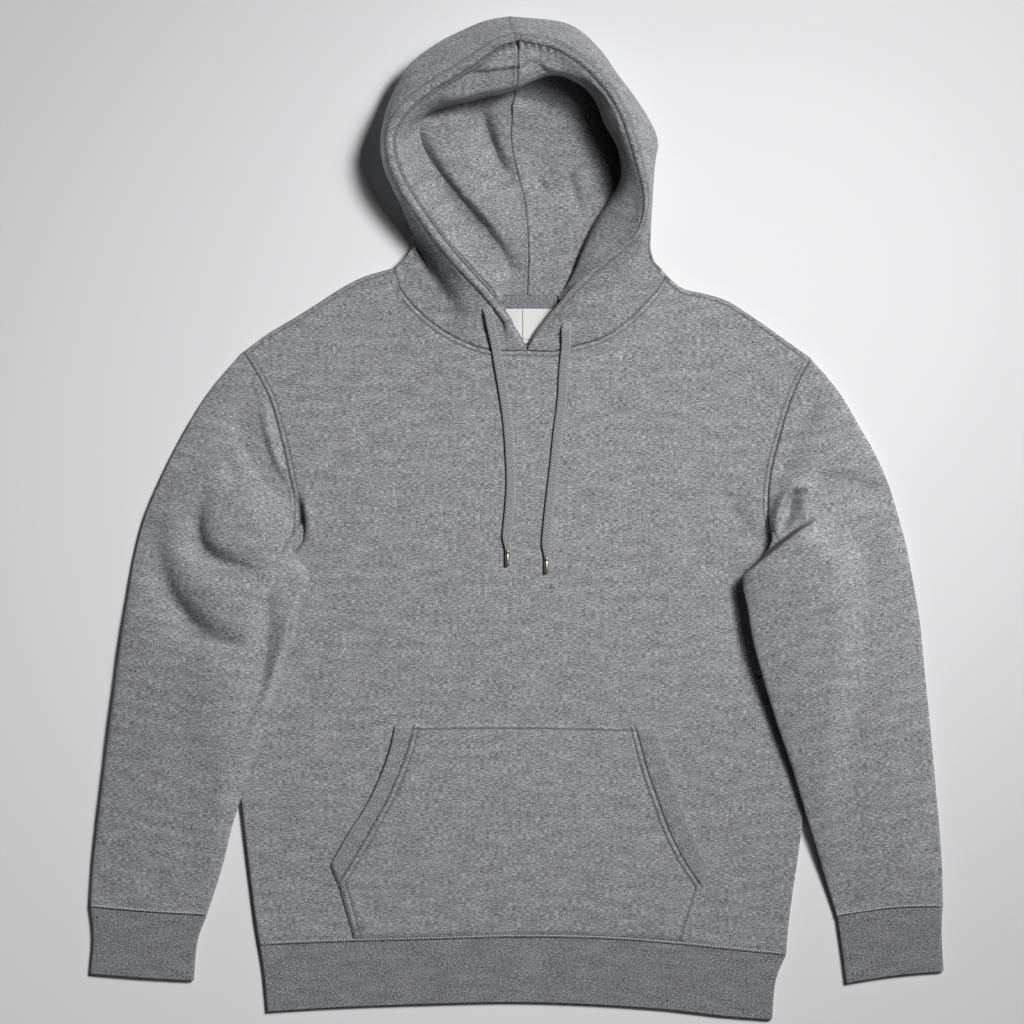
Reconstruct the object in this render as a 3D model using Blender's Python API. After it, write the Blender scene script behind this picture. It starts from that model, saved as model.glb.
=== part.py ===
"""A pullover hoodie laid flat on its back with the hood spread open, face up.

Each piece that a maker cuts and sews is one closed object: a cloth wall lofted through
rings or rows of points that are worked out from the tables below. The tables hold
readings in millimetres taken on a square mat that the garment lies on: across from
the mat's left edge, down from its top edge, and height above it. "right" and "left"
are the wearer's own, so the right sleeve lies on the -X side. +Y runs towards the
hood, +Z up from the surface, and the meshes are in metres.
"""
import math
from collections import namedtuple

import bmesh
import bpy
import numpy as np
from mathutils import Matrix

MM = 0.001
MAT_CENTRE = (516.8, 518.6)  # the mat reading that is the part's origin

# --- Driving sizes, mm -------------------------------------------------------------
FLEECE = 2.4            # wall of the brushed fleece
RIB = 2.6               # wall of the ribbed hem, cuffs and pocket trims
HOOD_OUTER = 2.2        # the hood is double: outer cloth and lining
HOOD_LINING = 2.0
SEAM_GAP = 0.3          # clear space left at every seam
HOOD_SEAM_GAP = 0.5     # at the neck, where the walls meet at an angle
TRIM_SEAM_GAP = 0.45    # beside the pocket
ARMHOLE_GAP = 0.7
CUFF_GAP = 0.6
FOLD_RADIUS = 3.0       # outer radius where a flattened tube folds at its edge
FLAT_MID = FOLD_RADIUS  # height of the middle of two layers lying on each other
ROLL_RADIUS = 4.5       # the stitched roll round the hood's face opening
CORD_WIDTH = 9.5
CORD_THICKNESS = 2.8
AGLET_DIAMETER = 4.0
AGLET_LENGTH = 15.5
NECK_RISE = 5.0         # the thick neck seam lifts the front round it
NECK_REACH = 42.0       # how far from the seam that can be seen
HOOD_SLOPE = 0.15       # climb of the hood's front edge from the neck seam to the roll
BODY_WIDTH = 540.0      # these four turn a length into a share of a panel
BODY_HEIGHT = 600.0
BAND_WIDTH = 510.0
BAND_HEIGHT = 62.0

# --- How finely the walls are divided ----------------------------------------------
FOLD_ANGLES = np.radians([0.0, 45.0, 90.0])  # round a folded edge, from its extreme
SIDE_ROWS = 12          # hem to underarm
ARMHOLE_ROWS = 9        # underarm to shoulder
SHOULDER_COLUMNS = 5    # on each shoulder
NECK_COLUMNS = 7        # on each half of the neckline
SLEEVE_ROWS = 25
SLEEVE_CROWDING = 1.35  # sets a sleeve's rows closer together near the armhole
ARMHOLE_COLUMN = 0.022  # the front's extra column, as a share of its width
BAND_ROWS = 3
HOOD_ROWS = 21
HOOD_FRONT_COLUMNS = 7  # rim to the hood's outermost side
HOOD_BACK_COLUMNS = 4   # side to centre back
WALL_COLUMNS = 5        # lining, rim to the hood's floor
FLOOR_COLUMNS = 5       # floor to centre back
POCKET_ROWS = 8
POCKET_FOOT_ROWS = 3
POCKET_COLUMNS = 10
TAPE_COLUMNS = 6
LABEL_COLUMNS = 4
LABEL_ROWS = 3
CORD_POINTS = 25
AGLET_SIDES = 12
PATH_SAMPLES = 60       # places on a fold's path that heights are measured from
RESAMPLE_STEPS = 80
SHARP_ANGLE = math.radians(50)
OUTER_ROLL = np.radians([150.0, 90.0, 20.0])  # 90 degrees is its top and 0 its outer side
LINING_ROLL = np.radians([159.0, 205.0])
ON_SURFACE = 0.01       # mm; points lower than this lie on the surface

# --- Outlines: mat readings (across, down) -----------------------------------------
FRONT_NECK_RIGHT = [(527.0, 351), (487, 349.5), (469, 344), (450, 335), (427, 319),
                    (409, 301), (398, 285), (394, 268)]
FRONT_NECK_LEFT = [(527.0, 351), (558, 351), (576, 346), (604, 337), (627, 321),
                   (650, 298), (660, 286), (666, 275)]
BACK_NECK_RIGHT = [(527.0, 301), (480, 300), (440, 291), (410, 277), (394, 268)]
BACK_NECK_LEFT = [(527.0, 301), (575, 300), (615, 294), (648, 284), (666, 275)]
RIGHT_SHOULDER = [(243.5, 352), (268.5, 333.5), (297, 316.5), (318.5, 303), (336, 291.5),
                  (362, 277.5), (394, 268)]
LEFT_SHOULDER = [(810.5, 358), (790, 343.5), (768.5, 328), (746.5, 313), (725, 300),
                 (703.5, 293.5), (681.5, 288), (666, 275)]
RIGHT_ARMHOLE = [(287, 547), (292.5, 534), (295, 519), (294.6, 502), (290, 478),
                 (285, 454), (278.5, 428), (271, 402), (259, 377), (243.5, 352)]
LEFT_ARMHOLE = [(779, 544), (773.5, 533), (768.5, 516), (767.8, 494), (771.7, 466),
                (779, 438), (787, 410), (797, 384), (810.5, 358)]
RIGHT_SIDE = [(260, 945), (256, 920), (251.6, 886), (246, 841), (241.5, 803), (235, 757),
              (230, 677), (232, 627), (242, 589), (264, 563), (287, 547)]
LEFT_SIDE = [(786, 955), (788, 930), (792, 897), (798, 856), (803.5, 814), (813, 747),
             (822, 677), (823, 622), (816, 582), (798, 558), (779, 544)]
HEM_SEAM = [(260, 945), (302, 943), (362, 941), (420, 939.6), (538, 937), (620, 939.5),
            (676, 944), (730, 949.5), (786, 955)]
HEM_RIGHT_END = [(268, 1011), (263.5, 966), (260, 945)]
HEM_LEFT_END = [(772, 1019), (777.5, 974), (786, 955)]
HEM_EDGE = [(268, 1011), (331, 1007), (420, 1003.5), (524, 1001.5), (608, 1004.5),
            (665, 1008.5), (728, 1015.5), (772, 1019)]
UNDERARM = 0.66         # share of the body's side edge that is below the underarm
NECK_SHARES = (0.32, 0.5, 0.68)  # where the neck's two halves start and end on the top edge

# --- Sleeves: a row for each ring across the flattened tube, shoulder to cuff --------
# outer and inner are the ends of the ring on the mat. over is how much of it, from its
# inner end, lies on the front; lift is how high that end is held; puff is the air in the
# middle of the tube; bow moves the middle of the ring down the sleeve.
SleeveRing = namedtuple("SleeveRing", "outer_x outer_y inner_x inner_y over lift puff bow")
RIGHT_SLEEVE = [
    SleeveRing(243.5, 352, 287, 547, 14, 8.2, 0.0, 0),
    SleeveRing(212, 389, 291, 551, 14, 8.2, 7.0, 0),
    SleeveRing(185, 432, 298, 558, 30, 7.8, 11.5, 0),
    SleeveRing(162, 477, 306, 568, 40, 7.0, 15.0, 0),
    SleeveRing(146, 515, 310, 578, 58, 7.5, 16.0, 0),
    SleeveRing(135, 556, 307, 592, 70, 8.0, 16.0, 0),
    SleeveRing(128, 597, 302, 609, 73, 8.0, 15.0, 0),
    SleeveRing(121, 640, 293, 641, 66, 7.5, 14.0, 0),
    SleeveRing(114.5, 690, 279, 688, 52, 6.8, 12.0, 0),
    SleeveRing(108, 740, 261, 738, 29, 6.8, 10.5, 0),
    SleeveRing(102.5, 785, 246, 785, 10, 6.8, 9.0, 0),
    SleeveRing(97.5, 825, 232.5, 826, 0, 6.8, 8.0, 0),
    SleeveRing(93.5, 862, 223.5, 863, 0, 2.5, 6.0, 0),
    SleeveRing(90.5, 907, 207, 915.5, 0, 0.0, 2.0, 1.0),
]
LEFT_SLEEVE = [
    SleeveRing(810.5, 358, 779, 544, -8, 6.8, 0.0, 0),
    SleeveRing(839.5, 393, 772, 550, 14, 8.0, 7.0, 0),
    SleeveRing(859, 426, 761, 559, 34, 9.5, 11.0, 0),
    SleeveRing(875.5, 455, 750, 568, 44, 11.5, 13.5, 0),
    SleeveRing(887.5, 482, 743, 577, 62, 13.5, 14.0, 0),
    SleeveRing(896, 509, 743, 588, 74, 15.5, 14.0, 0),
    SleeveRing(905, 541, 747, 606, 80, 17.0, 13.5, 0),
    SleeveRing(912, 576, 751.5, 635, 76, 17.0, 12.5, 0),
    SleeveRing(919.5, 620, 762, 675, 64, 15.5, 11.5, 0),
    SleeveRing(925, 675, 777, 724, 44, 12.5, 10.5, 0),
    SleeveRing(930.5, 730, 792, 768, 22, 9.5, 9.5, 0),
    SleeveRing(935.5, 785, 806, 815, 4, 7.5, 8.5, 0),
    SleeveRing(940, 836, 815.5, 845, 0, 5.5, 7.0, 0),
    SleeveRing(942.5, 880, 827, 884, 0, 1.5, 4.5, 0),
    SleeveRing(943.0, 907, 836, 916.5, 0, 0.0, 2.0, -3.0),
]
RIGHT_CUFF = [
    SleeveRing(92, 908, 205, 917, 0, 0, 1.0, 1.0),
    SleeveRing(93.5, 930, 199, 936, 0, 0, 0.6, 0.5),
    SleeveRing(91, 973, 194, 980, 0, 0, 0.6, 0.5),
]
LEFT_CUFF = [
    SleeveRing(942, 908, 838, 918, 0, 0, 1.0, -3.0),
    SleeveRing(941.5, 930, 841.5, 945, 0, 0, 0.6, -2.0),
    SleeveRing(943.5, 971, 846.5, 983, 0, 0, 0.6, -2.0),
]

# --- Largest folds: a row for each soft trough, in mat readings ----------------------
# right and left are its reach to the two hands of someone who walks along the path; a
# depth below 0 makes a ridge.
Trough = namedtuple("Trough", "path depth right left")
TROUGH_POWER = 1.6      # 2 is a round trough, 1 a sharp one
END_TAPER = 0.6         # below 1 keeps a trough deep until close to its ends
RIGHT_SLEEVE_TROUGHS = [
    Trough([(211, 488), (202, 505), (198, 522), (199, 538), (206, 551), (220, 561),
            (240, 567), (266, 574)], 13.0, 17, 9),
    Trough([(249, 392), (251.5, 415), (253, 432), (258, 450), (269, 474), (291, 502)],
           8.5, 14, 8),
    Trough([(262, 392), (269, 425), (276, 455), (284, 485)], -3.0, 7, 8),
    Trough([(159, 516), (160, 552), (164, 575), (174, 598), (190, 618), (209, 634),
            (229, 643), (264, 648)], 11.5, 19, 11),
    Trough([(272, 566), (269, 605), (266, 640), (260, 700)], 8.5, 13, 8),
    Trough([(229, 448), (231, 470), (237, 494)], 3.5, 11, 8),
    Trough([(205, 735), (213, 785), (208, 860)], 2.0, 18, 18),
]
LEFT_SLEEVE_TROUGHS = [
    Trough([(818, 386), (799, 432), (785, 462), (777, 496)], 5.5, 8, 15),
    Trough([(810, 472), (836, 480), (856, 485), (892, 494)], 7.5, 20, 12),
    Trough([(779, 534), (787, 521), (796, 508), (804, 496)], 8.0, 7, 7),
    Trough([(781, 506), (790, 492), (801, 486), (812, 492), (817, 506), (817, 520)],
           -7.5, 6, 6),
    Trough([(770, 622), (792, 630), (814, 626)], 2.0, 10, 8),
    Trough([(838, 585), (826, 640), (832, 700)], 3.0, 18, 14),
]
CURL_REACH = 55.0       # how far down a sleeve its rings still follow the armhole's curve
RAMP_START = 8.0        # past the lap, how far a held sleeve stays up, then comes down in
RAMP_LENGTH = 28.0
SLEEVE_FULLNESS = 0.7   # below 1 carries the air further towards a sleeve's edges
LOOSE_PUFF = 4.0        # air that a sleeve needs before folds form
# A lip is a step along a path: the cloth on its right-hand side stands higher.
Lip = namedtuple("Lip", "path height reach")
LEFT_SLEEVE_LIPS = [Lip([(730, 586), (745, 573), (760, 559), (779, 544), (800, 529),
                         (820, 516)], 6.0, 26)]
LIP_STEP = 5.0          # how wide the step itself is
LIP_END = 0.25          # share of its path over which it fades at each end
# Soft mounds on the front
Mound = namedtuple("Mound", "across down reach_across reach_down height")
FRONT_MOUNDS = [
    Mound(300, 516, 12, 15, 6.2),   # beside the right armhole, where the sleeve pushes it up
    Mound(540, 620, 120, 150, 2.0),
    Mound(430, 780, 120, 60, 1.2),
]

# --- Hood: a row for each section, neck to crown ------------------------------------
# rim is the top of the roll round the face opening; hollow is the dip just outside it;
# side is the outermost point; tuck is where the cloth meets the surface underneath.
HoodSection = namedtuple(
    "HoodSection", "rim_x rim_y rim_z hollow_x hollow_y hollow_z side_x side_y side_z tuck_x tuck_y")
HOOD_RIGHT = [
    HoodSection(507, 322, 17, 468, 325, 13, 399, 263, 10, 418, 274),
    HoodSection(489, 298, 22, 455, 306, 14, 406, 257, 12, 430, 268),
    HoodSection(468, 275, 28, 443, 284, 16, 414, 244, 14, 434, 252),
    HoodSection(446, 250, 35, 428, 257, 22, 408, 231, 16, 432, 232),
    HoodSection(425, 222, 41, 413, 226, 29, 402, 208, 18, 430, 212),
    HoodSection(408, 197, 46, 400, 199, 37, 393, 190, 22, 426, 193),
    HoodSection(396, 174, 50, 389, 175, 41, 384.5, 170, 24, 421, 172),
    HoodSection(390, 150, 53, 384, 150, 44, 380.5, 147, 25, 419, 150),
    HoodSection(392, 130, 55, 386, 127, 46, 383.5, 123, 26, 421, 129),
    HoodSection(405, 110, 57, 397, 103, 47, 392, 97, 28, 427, 109),
    HoodSection(426, 92, 59, 416, 81, 48, 409, 67, 29, 438, 89),
    HoodSection(450, 77, 61, 441, 64, 50, 436, 45.5, 30, 456, 71),
    HoodSection(474, 62, 63, 468, 49, 52, 462, 32, 31, 474, 56),
    HoodSection(496, 47, 65, 491, 37, 54, 485, 22.5, 33, 490, 42),
    HoodSection(516, 40, 66, 510, 30, 56, 506, 18, 34, 506, 29),
]
HOOD_LEFT = [
    HoodSection(548, 322, 17, 590, 328, 13, 661, 269, 10, 640, 277),
    HoodSection(562, 305, 21, 600, 309, 14, 654, 261, 12, 628, 266),
    HoodSection(580, 285, 26, 610, 291, 16, 650.5, 249, 14, 620, 252),
    HoodSection(600, 267, 32, 622, 272, 21, 650.5, 236, 17, 618, 234),
    HoodSection(620, 251, 38, 636, 253, 28, 651, 222, 20, 618, 215),
    HoodSection(637, 236, 44, 646, 234, 35, 652, 206, 22, 618, 196),
    HoodSection(645, 213, 49, 650, 209, 40, 653, 187, 24, 618, 178),
    HoodSection(645, 189, 53, 650.5, 184, 43, 655, 163, 26, 617, 160),
    HoodSection(639, 165, 56, 648, 159, 46, 657.5, 142, 27, 614, 141),
    HoodSection(632, 141, 58, 642, 133, 47, 649, 121, 28, 606, 122),
    HoodSection(622, 114, 60, 631, 105, 49, 635, 99, 29, 594, 101),
    HoodSection(606, 88, 62, 614, 78, 51, 617, 75, 30, 578, 82),
    HoodSection(582, 64, 64, 590, 52, 53, 597, 48, 31, 556, 62),
    HoodSection(552, 47, 65, 558, 35, 55, 566, 25, 33, 532, 45),
    HoodSection(516, 40, 66, 510, 30, 56, 506, 18, 34, 506, 29),
]
CENTRE_BACK = [(527.5, 300), (528, 252), (524, 205), (516, 165), (512, 125), (509, 80),
               (506, 37)]
CENTRE_START = 0.03     # where the first section meets that seam
UNDER_DROP = 0.3        # how far the cloth has turned under, half way from side to tuck

# Lining: rim as above, wall is half way down, foot is where it meets the hood's back, and
# edge is how far above the foot the wall's lower edge still is.
LiningSection = namedtuple(
    "LiningSection", "rim_x rim_y rim_z wall_x wall_y wall_z foot_x foot_y foot_z edge")
LINING_RIGHT = [
    LiningSection(507, 322, 16, 500, 304, 10, 505, 292, 7.2, 0),
    LiningSection(486, 295, 23, 497, 287, 13, 512, 277, 6, 0),
    LiningSection(466, 273, 28, 485, 262, 15, 503, 252, 5, 0),
    LiningSection(446, 250, 35, 466, 240, 18, 486, 228, 5, 0),
    LiningSection(425, 222, 41, 446, 215, 21, 465, 204, 5, 0),
    LiningSection(408, 197, 46, 427, 189, 24, 446, 181, 5, 0),
    LiningSection(396, 174, 50, 413, 168, 28, 431, 161, 6, 0),
    LiningSection(390, 150, 53, 405, 147, 32, 422, 143, 8, 0),
    LiningSection(392, 130, 55, 405, 130, 37, 420, 129, 11, 0),
    LiningSection(405, 110, 57, 420, 113, 42, 430, 118, 14, 0),
    LiningSection(426, 92, 59, 444, 103, 45, 451, 110, 17, 0),
    LiningSection(450, 77, 61, 463, 99, 47, 469, 106, 19, 0),
    LiningSection(474, 62, 63, 485, 94, 49, 489, 102, 20, 0),
    LiningSection(496, 47, 65, 504, 91, 50, 505, 99, 20, 0),
    LiningSection(516, 40, 66, 517, 87, 50, 513, 97, 20, 0),
]
LINING_LEFT = [
    LiningSection(549, 318, 17, 561, 304, 12, 555, 292.5, 7.2, 2),
    LiningSection(564, 302, 21, 567, 297, 14, 561, 287, 7.2, 4),
    LiningSection(580, 285, 26, 574, 284, 17, 568, 283, 7, 6),
    LiningSection(600, 267, 32, 584, 267, 21, 575, 268, 6.5, 8),
    LiningSection(620, 251, 38, 595, 251, 25, 581, 252, 6, 10),
    LiningSection(637, 236, 44, 610, 234, 29, 589, 233, 6, 10),
    LiningSection(645, 213, 49, 620, 214, 33, 598, 216, 6, 10),
    LiningSection(645, 189, 53, 626, 195, 37, 608, 201, 6, 10),
    LiningSection(639, 165, 56, 628, 169, 44, 620, 178, 7, 8),
    LiningSection(632, 141, 58, 620, 144, 48, 617, 149, 8, 4),
    LiningSection(622, 114, 60, 609, 122, 50, 605, 127, 9, 0),
    LiningSection(606, 88, 62, 595, 99, 51, 590, 106, 11, 0),
    LiningSection(582, 64, 64, 577, 83, 52, 572, 92, 14, 0),
    LiningSection(552, 47, 65, 552, 76, 52, 546, 90, 18, 0),
    LiningSection(516, 40, 66, 517, 87, 50, 513, 97, 20, 0),
]
LINING_CENTRE = [(527.5, 286, 6.9), (528.5, 252, 7), (524, 200, 7), (515, 165, 7.5),
                 (511, 138, 9), (512, 118, 12), (513, 108, 16)]
# The lining's own neck edge, inside the neck seam from centre front round to centre back
LINING_NECK_RIGHT = [(527, 346.5, 5.8), (487, 345, 5.5), (450, 330, 5.4), (428, 314, 5.3),
                     (413, 297, 5.1), (407, 285, 4.9), (407, 279, 4.8), (416, 282, 4.5),
                     (441, 289, 4.5), (480, 296.5, 4.5), (527.5, 297.5, 4.5)]
LINING_NECK_LEFT = [(527, 346.5, 5.8), (558, 346, 5.5), (600, 333, 5.4), (624, 316, 5.3),
                    (644, 296, 5.1), (652, 286.5, 4.9), (652, 281.5, 4.8), (643, 282, 4.5),
                    (614, 290, 4.5), (575, 296.5, 4.5), (527.5, 297.5, 4.5)]
LINING_FOLD = 6         # where that edge turns from the front to the back
EDGE_SHARE = 0.12       # how far up the lining's wall its lower edge is
LINING_TROUGHS = [
    Trough([(434, 110), (449, 148), (474, 182), (504, 212), (532, 262)], -12.0, 10, 36),
    Trough([(484, 110), (489, 135), (497, 156), (514, 182)], 7.0, 9, 5),
]

# --- Pocket, labels, cords ------------------------------------------------------------
POCKET_BOTTOM = [(354, 938), (420, 936.5), (524, 934), (620, 936), (686, 940.5)]
POCKET_TOP = [(414, 724), (470, 723), (580, 724), (635, 725.5)]
POCKET_RIGHT_FOOT = [(354, 938), (346, 910), (338.5, 884)]   # sewn down, below the opening
POCKET_LEFT_FOOT = [(686, 940.5), (695, 912), (702.5, 888)]
POCKET_FOOT = 0.25      # share of the pocket's side edge that is sewn down
TRIM_RIGHT_OUTER = [(330.5, 865), (350, 831), (366, 806), (381, 775), (391, 746), (395.5, 724)]
TRIM_RIGHT_INNER = [(338.5, 884), (370, 831), (392, 789), (400, 770), (407.5, 750), (414, 724)]
TRIM_LEFT_OUTER = [(708.5, 866), (692, 831), (680, 799), (673, 778), (664, 752), (655.5, 727)]
TRIM_LEFT_INNER = [(702.5, 888), (685, 862), (667, 826), (658, 801), (649, 776), (635, 725.5)]
PATCH_CLEARANCE = 0.5   # pocket above the front
POCKET_PUFF = 2.2       # how far the pocket's middle stands off the front
POCKET_FULLNESS = 0.8   # below 1 carries that further towards its edges
POCKET_GAPE = 1.2       # how far each opening stands off it
NeckTape = namedtuple("NeckTape", "down height")
NECK_TAPE = [NeckTape(296.0, 7.0), NeckTape(300.0, 6.2), NeckTape(304.0, 4.9), NeckTape(308.0, 3.9)]
NECK_TAPE_ACROSS = (490, 563)
TAPE = 1.1
Label = namedtuple("Label", "left right top bottom height wall")
NECK_LABEL = Label(497.0, 562.0, 308.8, 343.0, 3.5, 0.8)
SIZE_LABEL = Label(523.0, 541.0, 309.4, 339.0, 4.5, 0.7)
# Drawcords: (across, down) from where each leaves the rim to its metal end
RIGHT_CORD = [(489, 314), (490.5, 322), (494.5, 340), (499, 365), (503.5, 392), (507.5, 420),
              (510, 452), (511, 487), (509, 516), (507, 538), (507.4, 550)]
LEFT_CORD = [(567, 325), (566, 345), (563.5, 372), (562, 400), (558, 432), (555, 462),
             (551, 496), (548, 524), (546.4, 545), (546.4, 557)]

Shade = namedtuple("Shade", "colour roughness metallic")
SHADES = {
    "fleece": Shade((0.225, 0.228, 0.242), 0.95, 0.0),
    "rib": Shade((0.17, 0.172, 0.182), 0.95, 0.0),
    "tape": Shade((0.13, 0.132, 0.14), 0.95, 0.0),
    "label": Shade((0.78, 0.78, 0.76), 0.8, 0.0),
    "cord": Shade((0.24, 0.243, 0.257), 0.95, 0.0),
    "metal": Shade((0.35, 0.32, 0.29), 0.35, 1.0),
}


# --- Curves --------------------------------------------------------------------------
def mat(points):
    """Mat readings (across, down, and any height) as points of the part's frame, in mm."""
    found = np.array(points, float)
    found[..., 0] -= MAT_CENTRE[0]
    found[..., 1] = MAT_CENTRE[1] - found[..., 1]
    return found


def run_length(points):
    """Distance along a line of points, from its first one."""
    return np.concatenate([[0.0], np.cumsum(np.linalg.norm(np.diff(points, axis=0), axis=-1))])


def through(points, knots=None):
    """A smooth curve through the points, as a function of 0..1 along it."""
    points = np.array(points, float)
    knots = run_length(points) if knots is None else np.array(knots, float)
    knots = knots / knots[-1]
    slopes = np.gradient(points, knots, axis=0)

    def at(t):
        t = np.clip(np.asarray(t, float), 0.0, 1.0)
        i = np.clip(np.searchsorted(knots, t, side="right") - 1, 0, len(knots) - 2)
        span = (knots[i + 1] - knots[i])[..., None]
        s = (t - knots[i])[..., None] / span
        a, b = points[i], points[i + 1]
        return (a * (1 + 2 * s) * (1 - s) ** 2 + b * s * s * (3 - 2 * s)
                + slopes[i] * span * s * (1 - s) ** 2 - slopes[i + 1] * span * s * s * (1 - s))

    return at


def joined(curves, shares):
    """Curves end to end as one function of 0..1; shares are where each next one starts."""
    ends = [0.0, *shares, 1.0]

    def at(t):
        t = np.asarray(t, float)
        found = np.zeros(t.shape + (2,))
        for curve, start, end in zip(curves, ends, ends[1:]):
            here = (t >= start) if end == 1.0 else (t >= start) & (t < end)
            found[here] = curve((t[here] - start) / (end - start))
        return found

    return at


def reverse(curve):
    return lambda t: curve(1.0 - np.asarray(t, float))


def smooth(x):
    x = np.clip(x, 0.0, 1.0)
    return x * x * (3 - 2 * x)


# --- Heights on the plan -------------------------------------------------------------
def nearest(path, plan, samples=PATH_SAMPLES):
    """How far each plan point is from the path, on which side, and how far along it."""
    line = through(mat(path))(np.linspace(0, 1, samples))
    gap = plan[..., None, :] - line
    distance = np.hypot(gap[..., 0], gap[..., 1])
    index = distance.argmin(-1)
    run = np.gradient(line, axis=0)[index]
    off = np.take_along_axis(gap, index[..., None, None], -2)[..., 0, :]
    side = np.sign(off[..., 0] * run[..., 1] - off[..., 1] * run[..., 0])
    return distance.min(-1), side, index / (samples - 1)


def trough_depth(troughs, plan):
    total = np.zeros(plan.shape[:-1])
    for trough in troughs:
        distance, side, along = nearest(trough.path, plan)
        width = np.where(side > 0, trough.right, trough.left)
        taper = np.sin(np.pi * along) ** END_TAPER
        total += trough.depth * taper * np.exp(-(distance / width) ** TROUGH_POWER)
    return total


def lip_height(lips, plan):
    total = np.zeros(plan.shape[:-1])
    for lip in lips:
        distance, side, along = nearest(lip.path, plan)
        rise = smooth(0.5 + side * distance / LIP_STEP)
        ends = smooth(along / LIP_END) * smooth((1 - along) / LIP_END)
        total += lip.height * ends * rise * np.exp(-(distance / lip.reach) ** 2)
    return total


def front_rise(plan):
    """How far the front stands above two flat layers."""
    neck = np.minimum(nearest(FRONT_NECK_RIGHT, plan)[0], nearest(FRONT_NECK_LEFT, plan)[0])
    rise = NECK_RISE * np.exp(-(neck / NECK_REACH) ** 2)
    for mound in FRONT_MOUNDS:
        away = (plan - mat([mound.across, mound.down])) / [mound.reach_across, mound.reach_down]
        rise = rise + mound.height * np.exp(-(away ** 2).sum(-1))
    return rise


# --- Panels: flattened layers between four edges --------------------------------------
def coons(bottom, top, right, left, u, v):
    """Plan points of a patch between four edge curves; u runs right to left (-X to +X)."""
    u, v = np.broadcast_arrays(u, v)
    a, b = u[..., None], v[..., None]
    corners = ((1 - a) * (1 - b) * bottom(np.zeros(1)) + a * (1 - b) * bottom(np.ones(1))
               + (1 - a) * b * top(np.zeros(1)) + a * b * top(np.ones(1)))
    return ((1 - b) * bottom(u) + b * top(u) + (1 - a) * right(v) + a * left(v) - corners)


def round_in(angle, inset, radius=FOLD_RADIUS):
    """Distance in from a folded edge, and height from its middle, at an angle round it."""
    return inset + (radius - inset) * (1 - np.cos(angle)), (radius - inset) * np.sin(angle)


def body_edges(neck_right, neck_left):
    right_side = joined([through(mat(RIGHT_SIDE)), through(mat(RIGHT_ARMHOLE))], [UNDERARM])
    left_side = joined([through(mat(LEFT_SIDE)), through(mat(LEFT_ARMHOLE))], [UNDERARM])
    top = joined([through(mat(RIGHT_SHOULDER)), reverse(through(mat(neck_right))),
                  through(mat(neck_left)), reverse(through(mat(LEFT_SHOULDER)))], NECK_SHARES)
    return through(mat(HEM_SEAM)), top, right_side, left_side


def body_steps(shoulder, neck, beside=()):
    """u and v of the body's grid; beside has any columns close to the side edges."""
    u = np.concatenate([[0, 0, 0], beside, np.linspace(0, NECK_SHARES[0], shoulder + 1)[1:-1],
                        np.linspace(NECK_SHARES[0], NECK_SHARES[1], neck + 1)[:-1],
                        np.linspace(NECK_SHARES[1], NECK_SHARES[2], neck + 1)[:-1],
                        np.linspace(NECK_SHARES[2], 1, shoulder + 1)[:-1],
                        1 - np.array(beside), [1, 1, 1]])
    v = np.concatenate([np.linspace(0, UNDERARM, SIDE_ROWS + 1)[:-1],
                        np.linspace(UNDERARM, 1, ARMHOLE_ROWS + 1)[:-1], [1, 1, 1]])
    return u, v


def body_layer(edges, steps, above, inset):
    """One layer's surface: the outer one with inset 0, the inner one with the wall's inset."""
    u_line, v_line = steps
    u, v = np.meshgrid(u_line, v_line)
    n_rows, n_columns = u.shape
    side_angle = np.full(u.shape, np.pi / 2)
    top_angle = np.full(u.shape, np.pi / 2)
    seam = SEAM_GAP / 2
    for i, angle in enumerate(FOLD_ANGLES):
        folds = v[:, 0] < UNDERARM - 1e-6
        for j, sign, start in ((i, 1, 0.0), (n_columns - 1 - i, -1, 1.0)):
            depth = np.where(folds, round_in(angle, inset)[0], round_in(angle, 0)[0] + seam)
            u[:, j] = start + sign * depth / BODY_WIDTH
            side_angle[:, j] = np.where(folds, angle, np.pi / 2)
        on_neck = (u_line > NECK_SHARES[0] + 1e-6) & (u_line < NECK_SHARES[2] - 1e-6)
        depth = np.where(on_neck, round_in(angle, 0)[0] + seam, round_in(angle, inset)[0])
        v[n_rows - 1 - i, :] = 1.0 - depth / BODY_HEIGHT
        top_angle[n_rows - 1 - i, :] = np.where(on_neck, np.pi / 2, angle)
    v[0, :] = seam / BODY_HEIGHT
    plan = coons(*edges, u, v)
    turn = np.sin(np.minimum(side_angle, top_angle))
    height = np.maximum((FOLD_RADIUS - inset) * turn, seam)
    if above:
        return np.dstack([plan, FLAT_MID + height + front_rise(plan) * turn])
    return np.dstack([plan, FLAT_MID - height])


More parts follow.
